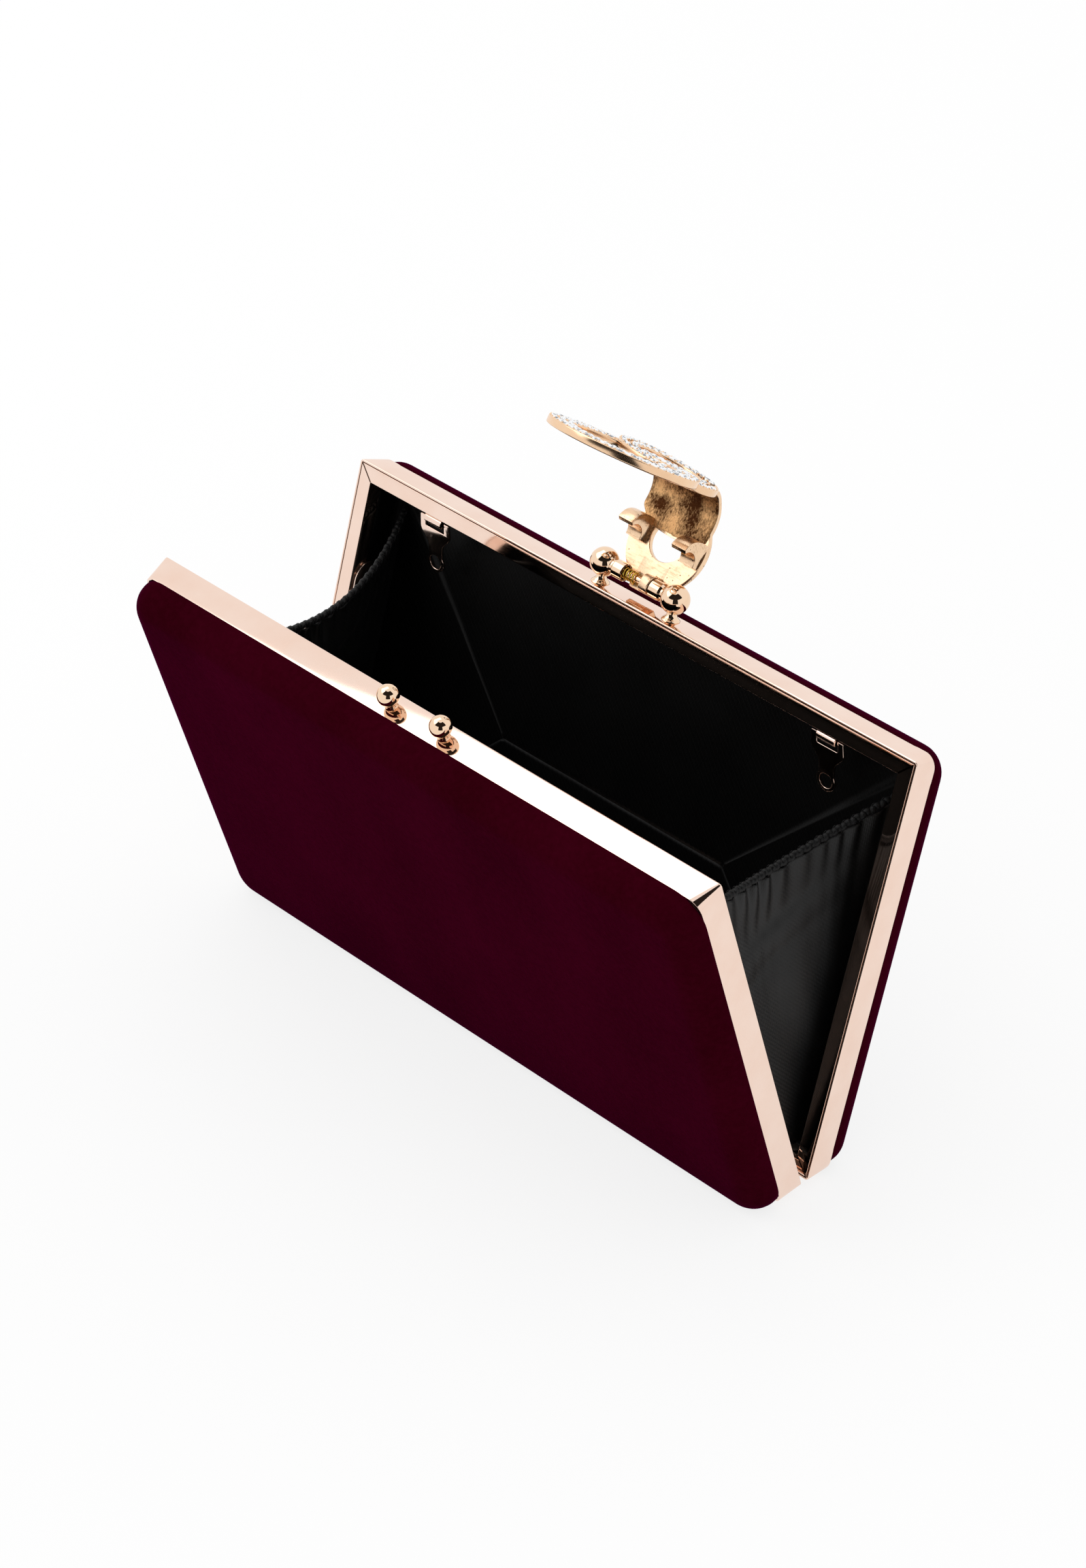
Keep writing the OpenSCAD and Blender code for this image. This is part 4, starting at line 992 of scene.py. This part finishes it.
def stone_places(clasp, radius, band, rows, other_place, other_radius, other_band, side):
    """Centres of the stones: evenly spaced on rows of circles, left out where the other ring crosses over on
    one side, and in the arch's end."""
    edge, space = 0.15 * MM, 2.1 * MM
    radius, band = radius - edge, band - 2 * edge
    step = (band - 2 * clasp.stone) / (rows - 1)
    found = []
    for row in range(rows):
        r = radius - band + clasp.stone + row * step
        count = int(2 * math.pi / (2 * math.asin(space / 2 / r)))
        a = 2 * math.pi * (np.arange(count) + row / 2) / count
        found.append(np.column_stack([r * np.cos(a), r * np.sin(a)]))
    places = np.concatenate(found)
    far = np.hypot(places[:, 0], places[:, 1] - other_place)
    under = (far < other_radius + clasp.stone) & (far > other_radius - other_band - clasp.stone)
    left_out = under & (places[:, 0] * side >= 0)
    if side < 0:
        x, y = places[:, 0], places[:, 1]
        left_out |= (x < -clasp.stone) & (-x < clasp.arch_width / 2 + clasp.stone) & (
            np.abs(y + clasp.small_place) < clasp.plate + clasp.stone)
    return places[~left_out]


def stone_cluster(clasp, name, places, place, twist):
    """Cut stones: an eight-sided table, sixteen girdle points and a drawn-in seat, copied to each place."""
    r, h = clasp.stone, clasp.ring / 2 - 0.1 * MM
    a8 = np.arange(8) * math.pi / 4
    a16 = np.arange(16) * math.pi / 8
    table = np.column_stack([0.52 * r * np.cos(a8), 0.52 * r * np.sin(a8), np.full(8, 0.62 * MM)])
    girdle = np.column_stack([0.97 * r * np.cos(a16), 0.97 * r * np.sin(a16), np.full(16, 0.26 * MM)])
    seat = np.column_stack([0.8 * r * np.cos(a16), 0.8 * r * np.sin(a16), np.full(16, -0.15 * MM)])
    one = np.concatenate([table, girdle, seat])
    j = np.arange(8)
    faces = [list(range(8))]
    faces += np.column_stack([j, 8 + 2 * j, 8 + (2 * j + 1) % 16, (j + 1) % 8]).tolist()
    faces += np.column_stack([(j + 1) % 8, 8 + (2 * j + 1) % 16, 8 + (2 * j + 2) % 16]).tolist()
    k = np.arange(16)
    faces += np.column_stack([8 + k, 24 + k, 24 + (k + 1) % 16, 8 + (k + 1) % 16]).tolist()
    faces += [list(range(39, 23, -1))]
    spin = np.random.default_rng(7).uniform(0, math.pi / 4, len(places))
    c, s = np.cos(spin)[:, None], np.sin(spin)[:, None]
    x = one[None, :, 0] * c - one[None, :, 1] * s + places[:, :1]
    y = one[None, :, 0] * s + one[None, :, 1] * c + places[:, 1:]
    points = np.stack([x, y, np.broadcast_to(one[None, :, 2] + h, x.shape)], -1)
    row = in_ornament(clasp, points, place, twist).reshape(-1, 3)
    all_faces = [[i + 40 * n for i in f] for n in range(len(places)) for f in faces]
    mesh = bpy.data.meshes.new(name)
    mesh.from_pydata(row.tolist(), [], all_faces)
    facing_out(mesh)
    # the faces below the girdle take the second material, painted shade that outlines each stone
    painted_shade_skirt = np.tile(np.array([0] * 17 + [1] * 17, np.int32), len(places))
    mesh.polygons.foreach_set("material_index", painted_shade_skirt)
    return linked(name, mesh)


def prong_beads(clasp, name, places, place, twist):
    """Small beads that hold the stones: four round each stone, where its girdle meets its neighbours'."""
    r, h = clasp.stone, clasp.ring / 2 + 0.12 * MM
    radial = np.arctan2(places[:, 1], places[:, 0])
    a = radial[:, None] + math.pi / 4 + np.arange(2)[None] * math.pi / 2
    centre = places[:, None] + 1.12 * r * np.stack([np.cos(a), np.sin(a)], -1)
    centre = centre.reshape(-1, 2)
    lat = np.array([0.15, 0.5, 0.85]) * math.pi
    ring = turned(np.column_stack([0.3 * MM * np.sin(lat), 0.3 * MM * np.cos(lat)]), 6).reshape(-1, 3)
    poles = np.array([[0, 0, 0.3 * MM], [0, 0, -0.3 * MM]])
    one = np.concatenate([ring, poles])
    points = one[None] + np.concatenate([centre, np.full((len(centre), 1), h)], 1)[:, None]
    row = in_ornament(clasp, points, place, twist).reshape(-1, 3)
    quads = grid_faces(3, 6, False, True).tolist()
    j = np.arange(6)
    quads += np.column_stack([(j + 1) % 6, j, np.full(6, 18)]).tolist()
    quads += np.column_stack([12 + j, 12 + (j + 1) % 6, np.full(6, 19)]).tolist()
    faces = [[i + 20 * n for i in f] for n in range(len(centre)) for f in quads]
    mesh = bpy.data.meshes.new(name)
    mesh.from_pydata(row.tolist(), [], faces)
    facing_out(mesh)
    mesh.polygons.foreach_set("use_smooth", np.ones(len(mesh.polygons), bool))
    return linked(name, mesh)


def torsion_spring(clasp):
    """The spring: a helix round the axle that moves on by the pitch in each turn, with a leg at each end."""
    turns, pitch, coil, leg = 6.4, 1.0 * MM, 1.25 * MM, 0.8 * MM
    a = np.linspace(0, 2 * math.pi * turns, 160)
    start = -(clasp.barrel_gap / 2 + 3.2 * MM)
    x = start + pitch * a / (2 * math.pi)
    path = np.stack([x, coil * np.cos(a), coil * np.sin(a)], -1)
    first = path[0] + np.array([0, leg * math.sin(a[0]), -leg * math.cos(a[0])])
    last = path[-1] + np.array([0, -leg * math.sin(a[-1]), leg * math.cos(a[-1])])
    path = np.concatenate([first[None], path, last[None]])
    return skin("torsion_spring", in_clasp(clasp, capped(tube(path, 0.25 * MM, 10))), (False, True), sharp=60)


def strap_clip(fit, side):
    """A stamped clip: a slotted shoulder, a neck and a round eye, with pressed edges."""
    w, neck, top = fit.clip_width / 2, fit.clip_neck / 2, fit.clip_sheet / 2
    shoulder, taper = 3.8 * MM, 3.0 * MM
    eye = fit.eye + fit.eye_rim
    a = np.linspace(math.radians(145), math.radians(395), 40)
    bulb = np.column_stack([eye * np.cos(a), -fit.clip_drop + eye * np.sin(a)])
    meet = -fit.clip_drop + eye * 0.6
    left = fillet([(w, top), (-w, top), (-w, -shoulder), (-neck, -shoulder - taper), (-neck, meet)],
                  [0.5 * MM, 0.5 * MM, 1 * MM, 1 * MM, 0.0], 3)[:-2]
    right = fillet([(neck, meet), (neck, -shoulder - taper), (w, -shoulder), (w, top)],
                   [0.0, 1 * MM, 1 * MM, 0.0], 3)[2:-4]
    outline = np.concatenate([left, bulb, right])
    slot_side, slot = 1.8 * MM, 2.2 * MM
    window = fillet([(-w + slot_side, -top), (w - slot_side, -top), (w - slot_side, -top - slot),
                     (-w + slot_side, -top - slot)], 0.35 * MM, 3)
    hole = circle(fit.eye, (0, -fit.clip_drop))

    def hang(p):
        return np.stack([side * fit.clip_place + p[:, 0], fit.clip_y - p[:, 2], fit.clip_z + p[:, 1]], -1)

    name = hand(side)
    piece = cut_plate("strap_clip_" + name, [outline, window, hole], fit.clip_sheet, 0.15 * MM, hang)
    return dress(piece, "clip_" + name, finish_of("plain metal"), "frame_metal", "clip_plate_" + name)


def clip_loop(case, fit, side):
    """The rolled tab that a clip hangs in: a strip bent round the clip's top bar, its tail under the lip."""
    outer, sheet, width, depth = 1.25 * MM, 0.45 * MM, 5.5 * MM, 1.8 * MM
    r = outer - sheet / 2
    tail = np.array([[r, case.lip_depth - depth], [r, 0.4 * MM]])
    a = np.linspace(0, math.radians(-310), 40)
    roll = np.column_stack([r * np.cos(a), r * np.sin(a)])
    path = np.concatenate([tail, roll])
    along = np.gradient(path, axis=0)
    along /= np.linalg.norm(along, axis=1, keepdims=True)
    normal = np.stack([-along[:, 1], along[:, 0]], -1)
    section = fillet([(-1, -1), (1, -1), (1, 1), (-1, 1)], [0.12] * 4, 2)
    x = np.broadcast_to(section[:, 0] * width / 2, (len(path), len(section)))
    tw = path[:, None] + normal[:, None] * (section[:, 1] * sheet / 2)[None, :, None]
    pivot_v = case.height - case.rim_width - outer
    points = np.stack([side * fit.clip_place + x, pivot_v + tw[..., 0], depth + tw[..., 1]], -1)
    name = hand(side)
    piece = skin("clip_loop_" + name, capped(in_half(case, points, True)), (False, True), sharp=40, weld=1e-6)
    return dress(piece, "rear_half", finish_of("plain metal"), "frame_metal", "clip_tab_" + name)


def stay_pieces(case, fit):
    """The stay: a round-ended bar with an eye at each end, and its bracket with the pin and head."""
    r = fit.stay_width / 2
    a = np.linspace(-math.pi / 2, math.pi / 2, 24)
    near = np.column_stack([r * np.cos(a), r * np.sin(a)])
    far = np.column_stack([-fit.stay_length - r * np.cos(a), -r * np.sin(a)])
    outline = np.concatenate([near, far])
    inner_x = case.half_length - case.rim_width
    gap = 0.1 * MM
    s, c = math.sin(case.lean), math.cos(case.lean)
    v, w = fit.stay_height + case.pin_drop, fit.stay_depth + case.rim_gap / 2
    py, pz = case.hinge_y + v * s + w * c, case.hinge_z + v * c - w * s
    sd, cd = math.sin(fit.stay_droop), math.cos(fit.stay_droop)
    middle = -inner_x + fit.stay_sheet + gap + fit.stay_sheet / 2

    def lay(p):
        y, z = py + p[:, 0] * cd - p[:, 1] * sd, pz + p[:, 0] * sd + p[:, 1] * cd
        return np.stack([middle + p[:, 2], y, z], -1)

    holes = [circle(0.75 * MM, centre, 24) for centre in ((0, 0), (-fit.stay_length, 0))]
    bar = cut_plate("stay_bar_metal", [outline, *holes], fit.stay_sheet, 0.16 * MM, lay)
    dress(bar, "stay", finish_of("plain metal"), "frame_metal", "stay_bar")
    back = fit.stay_depth + 1.9 * MM
    shape = fillet([(-6 * MM, 0.8 * MM), (5 * MM, 0.8 * MM), (7.7 * MM, 2.6 * MM), (8.4 * MM, 5.5 * MM),
                    (5 * MM, back), (-6 * MM, back)],
                   [0.4 * MM, 1.6 * MM, 1.2 * MM, 1.0 * MM, 1 * MM, 0.6 * MM])

    def stand(p):
        x = -inner_x + fit.stay_sheet / 2 + p[:, 2]
        return in_half(case, np.stack([x, fit.stay_height + p[:, 0], p[:, 1]], -1), True)

    bracket = cut_plate("stay_bracket_metal", [shape], fit.stay_sheet, 0.15 * MM, stand)
    dress(bracket, "rear_half", finish_of("plain metal"), "frame_metal", "stay_bracket")
    profile = [(0, 0), (0.7 * MM, 0), (0.7 * MM, 1.75 * MM), (1.45 * MM, 1.8 * MM), (1.6 * MM, 1.95 * MM),
               (1.2 * MM, 2.2 * MM), (0, 2.2 * MM)]
    pin = turned(profile, 28)
    points = [-inner_x + pin[..., 2], fit.stay_height + pin[..., 0], fit.stay_depth + pin[..., 1]]
    head = skin("stay_pin", in_half(case, np.stack(points, -1), True), (False, True), weld=2e-6, sharp=40)
    dress(head, "rear_half", finish_of("plain metal"), "frame_metal")


# Stage


def lamp(name, place, aim, size, power, colour=(1, 1, 1)):
    """A soft rectangular lamp that looks at a point."""
    data = bpy.data.lights.new(name, "AREA")
    data.shape, data.size, data.size_y, data.energy, data.color = "RECTANGLE", size[0], size[1], power, colour
    made = linked(name, data)
    made.location = place
    made.rotation_euler = (Vector(aim) - Vector(place)).to_track_quat("-Z", "Y").to_euler()
    return made


def seen_rays(tree):
    """1 for camera, glossy and transmission rays, which see the background as white."""
    path = add(tree, "ShaderNodeLightPath")
    first = combined(tree, "MAXIMUM", path.outputs["Is Camera Ray"], path.outputs["Is Glossy Ray"])
    return combined(tree, "MAXIMUM", first, path.outputs["Is Transmission Ray"])


def dark_flag(name, turn, rise):
    """A black flag that only gloss sees: a patch of a sphere, r (cos e cos a, cos e sin a, sin e)."""
    radius = 2.0
    a, e = np.meshgrid(np.radians(np.linspace(*turn, 19)), np.radians(np.linspace(*rise, 9)))
    points = radius * np.stack([np.cos(e) * np.cos(a), np.cos(e) * np.sin(a), np.sin(e)], -1)
    flag = skin(name, points, (False, False))
    material, tree = blank(name)
    black = add(tree, "ShaderNodeEmission", Color=(0.02, 0.017, 0.015, 1)).outputs[0]
    add(tree, "ShaderNodeOutputMaterial", Surface=black)
    flag.data.materials.append(material)
    for ray in ("camera", "diffuse", "transmission", "volume_scatter", "shadow"):
        setattr(flag, "visible_" + ray, False)


def make_stage():
    """Camera at the photograph's angle, pale floor that keeps the shadow, white world, soft lamps and two
    dark flags."""
    scene = bpy.context.scene
    scene.view_settings.view_transform = "Standard"
    data = bpy.data.cameras.new("camera")
    data.lens, data.sensor_width = 97.912, 36
    data.clip_start, data.clip_end = 0.01, 50
    camera = linked("camera", data)
    camera.location = (0.5732138, -0.5680375, 0.6491634)
    aim = Vector((0.4919305, -0.487664, 0.5667086))
    camera.rotation_euler = (aim - camera.location).to_track_quat("-Z", "Y").to_euler()
    scene.camera = camera

    material, tree = blank("pale floor")
    matte = add(tree, "ShaderNodeBsdfDiffuse", Color=(0.9, 0.9, 0.9, 1)).outputs[0]
    glow = add(tree, "ShaderNodeEmission", Color=(1, 1, 1, 1), Strength=1.0).outputs[0]
    path = add(tree, "ShaderNodeLightPath")
    seen = combined(tree, "MAXIMUM", path.outputs["Is Camera Ray"], path.outputs["Is Glossy Ray"])
    share = combined(tree, "MULTIPLY", seen, 0.8)
    mixed = add(tree, "ShaderNodeMixShader", Fac=share)
    tree.links.new(matte, mixed.inputs[1])
    tree.links.new(glow, mixed.inputs[2])
    add(tree, "ShaderNodeOutputMaterial", Surface=mixed.outputs[0])
    far = 6.0
    floor = new_piece("floor", np.array([[-far, -far, 0], [far, -far, 0], [far, far, 0], [-far, far, 0]]),
                      np.array([[0, 1, 2, 3]]))
    floor.data.materials.append(material)

    world = bpy.data.worlds.new("studio")
    scene.world = world
    world.use_nodes = True
    tree = world.node_tree
    tree.nodes.clear()
    strength = add(tree, "ShaderNodeMapRange", Value=seen_rays(tree), To_Min=0.92, To_Max=1.0).outputs[0]
    back = add(tree, "ShaderNodeBackground", Color=(1, 1, 1, 1), Strength=strength)
    add(tree, "ShaderNodeOutputWorld", Surface=back.outputs[0])

    aim = (0, 0, 0.07)
    lamp("key", (-1.1, -0.7, 1.6), aim, (1.6, 1.2), 6.2)
    lamp("window", (-0.60, 0.155, 1.42), aim, (0.8, 0.7), 1.9)
    dark_flag("flag_high", (-110, 20), (32, 72))
    dark_flag("flag_low", (-65, -25), (-5, 32))


# Operators


class BuildStage(Operator):
    """Make the camera, floor, world and lamps"""
    bl_idname = "clutch.stage"
    bl_label = "Stage"

    def execute(self, context):
        make_stage()
        return {"FINISHED"}


class BuildFrames(Operator):
    """Make both polished frames"""
    bl_idname = "clutch.frames"
    bl_label = "Frames"

    def execute(self, context):
        for rear in (True, False):
            metal_frame(context.scene.clutch_case, rear)
        return {"FINISHED"}


class BuildCovers(Operator):
    """Make both velvet covers"""
    bl_idname = "clutch.covers"
    bl_label = "Velvet covers"

    def execute(self, context):
        for rear in (True, False):
            velvet_cover(context.scene.clutch_case, rear)
        return {"FINISHED"}


class BuildLinings(Operator):
    """Make both satin linings"""
    bl_idname = "clutch.linings"
    bl_label = "Linings"

    def execute(self, context):
        for rear in (True, False):
            satin_lining(context.scene.clutch_case, rear)
        return {"FINISHED"}


class BuildGussets(Operator):
    """Make both gathered gussets and their elastic hems"""
    bl_idname = "clutch.gussets"
    bl_label = "Gussets"

    def execute(self, context):
        case, gusset = context.scene.clutch_case, context.scene.clutch_gussets
        for side, name in ((-1, "left"), (1, "right")):
            cloth = gusset_cloth(case, gusset, side)
            hem = elastic_edge(case, gusset, side)
            thread = zigzag_thread(case, gusset, side)
            for piece, finish, slot, node in ((cloth, "gusset satin", "satin", "gusset_" + name),
                                              (hem, "elastic", "elastic", "elastic_" + name),
                                              (thread, "elastic", "elastic", None)):
                piece.data.materials.append(finish_of(finish))
                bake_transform(piece)
                if node:
                    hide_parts(node)
        return {"FINISHED"}


class BuildStuds(Operator):
    """Make the catch balls and the pivot balls with their barrels"""
    bl_idname = "clutch.studs"
    bl_label = "Balls and barrels"

    def execute(self, context):
        case, clasp = context.scene.clutch_case, context.scene.clutch_clasp
        for side in (-1, 1):
            catch_ball(case, clasp, side)
            pivot_ball(case, clasp, side)
        paint_node("clasp_axle", finish_of("ball metal"))
        return {"FINISHED"}


class BuildClasp(Operator):
    """Make the cast clasp with its hooks, arch and linked rings"""
    bl_idname = "clutch.clasp"
    bl_label = "Clasp"

    def execute(self, context):
        case, clasp = context.scene.clutch_case, context.scene.clutch_clasp
        plate = crescent_plate(clasp)
        arch = clasp_arch(clasp)
        hooks = [clasp_hook(clasp, case, side) for side in (-1, 1)]
        parts = [arch, *hooks, *clasp_knuckle(clasp)]
        dress(plate, "clasp", finish_of("clasp metal"), "clasp_metal", "clasp_body")
        for part in parts:
            dress(part, "clasp", finish_of("clasp metal"), "clasp_metal")
        # second material: rough grain with painted dark reflections
        arch.data.materials.append(finish_of("rough casting"))
        shade_inside(clasp, arch)
        rings = [set_ring(clasp, "large_ring", clasp.large, clasp.large_band, clasp.large_place, 0.0),
                 set_ring(clasp, "small_ring", clasp.small, clasp.small_band, clasp.small_place, clasp.twist)]
        for ring in rings:
            dress(ring, "clasp", finish_of("ring metal"), "clasp_metal")
        return {"FINISHED"}


class BuildStones(Operator):
    """Make the cut stones and the beads that hold them"""
    bl_idname = "clutch.stones"
    bl_label = "Stones"

    def execute(self, context):
        c = context.scene.clutch_clasp
        step = c.large_place - c.small_place
        large = stone_places(c, c.large, c.large_band, 3, -step, c.small, c.small_band, 1)
        small = stone_places(c, c.small, c.small_band, 2, step, c.large, c.large_band, -1)
        rings = (("large", large, c.large_place, 0.0), ("small", small, c.small_place, c.twist))
        for name, places, place, twist in rings:
            stones = stone_cluster(c, name + "_ring_stones", places, place, twist)
            dress(stones, "clasp", finish_of("clear stone"), "stones", "stones_" + name + "_ring")
            # second material: painted shade on the stones' lower faces
            stones.data.materials.append(finish_of("stone seat"))
            beads = prong_beads(c, name + "_ring_beads", places, place, twist)
            dress(beads, "clasp", finish_of("ring metal"), "clasp_metal")
        return {"FINISHED"}


class BuildSpring(Operator):
    """Make the clasp's torsion spring"""
    bl_idname = "clutch.spring"
    bl_label = "Spring"

    def execute(self, context):
        spring = torsion_spring(context.scene.clutch_clasp)
        dress(spring, "rear_half", finish_of("spring wire"), "spring_wire", "clasp_spring")
        return {"FINISHED"}


class BuildClips(Operator):
    """Make the strap clips and the tabs that they hang in"""
    bl_idname = "clutch.clips"
    bl_label = "Strap clips"

    def execute(self, context):
        for side in (-1, 1):
            strap_clip(context.scene.clutch_fittings, side)
            clip_loop(context.scene.clutch_case, context.scene.clutch_fittings, side)
        return {"FINISHED"}


class BuildStay(Operator):
    """Make the stay bar and its bracket"""
    bl_idname = "clutch.stay"
    bl_label = "Stay"

    def execute(self, context):
        stay_pieces(context.scene.clutch_case, context.scene.clutch_fittings)
        return {"FINISHED"}


class FinishHidden(Operator):
    """Give the boards, foam layers and hinges their finishes"""
    bl_idname = "clutch.hidden"
    bl_label = "Boards, foam and hinges"

    def execute(self, context):
        for side in ("rear", "front"):
            paint_node(side + "_board", finish_of("fibre board"))
            paint_node(side + "_foam", finish_of("foam"))
            for end in ("left", "right"):
                paint_node(f"{side}_hinge_{end}", finish_of("plain metal"))
        for end in ("left", "right"):
            paint_node("hinge_pin_" + end, finish_of("plain metal"))
        return {"FINISHED"}


class ClutchPanel(Panel):
    """Buttons that build the clutch bag"""
    bl_idname = "VIEW3D_PT_clutch"
    bl_label = "Clutch bag"
    bl_space_type = "VIEW_3D"
    bl_region_type = "UI"
    bl_category = "Clutch"

    def draw(self, context):
        for kind in OPERATORS:
            self.layout.operator(kind.bl_idname)
        for group in GROUPS:
            box = self.layout.box()
            box.label(text=group.replace("clutch_", "").capitalize())
            values = getattr(context.scene, group)
            for key in values.bl_rna.properties.keys():
                if key not in {"rna_type", "name"}:
                    box.prop(values, key)


OPERATORS = (BuildStage, BuildFrames, BuildCovers, BuildLinings, BuildGussets, BuildStuds, BuildClasp,
             BuildStones, BuildSpring, BuildClips, BuildStay, FinishHidden)
GROUPS = {"clutch_case": CaseSizes, "clutch_gussets": GussetSizes, "clutch_clasp": ClaspSizes,
          "clutch_fittings": FittingSizes, "clutch_finishes": Finishes}


def register():
    for kind in (*GROUPS.values(), *OPERATORS, ClutchPanel):
        bpy.utils.register_class(kind)
    for name, kind in GROUPS.items():
        setattr(bpy.types.Scene, name, PointerProperty(type=kind))


def unregister():
    for name in GROUPS:
        delattr(bpy.types.Scene, name)
    for kind in reversed((*GROUPS.values(), *OPERATORS, ClutchPanel)):
        bpy.utils.unregister_class(kind)


def main():
    register()
    bpy.ops.clutch.stage()
    bpy.ops.clutch.frames()
    bpy.ops.clutch.covers()
    bpy.ops.clutch.linings()
    bpy.ops.clutch.gussets()
    bpy.ops.clutch.studs()
    bpy.ops.clutch.clasp()
    bpy.ops.clutch.stones()
    bpy.ops.clutch.spring()
    bpy.ops.clutch.clips()
    bpy.ops.clutch.stay()
    bpy.ops.clutch.hidden()


if __name__ == "__main__":
    main()
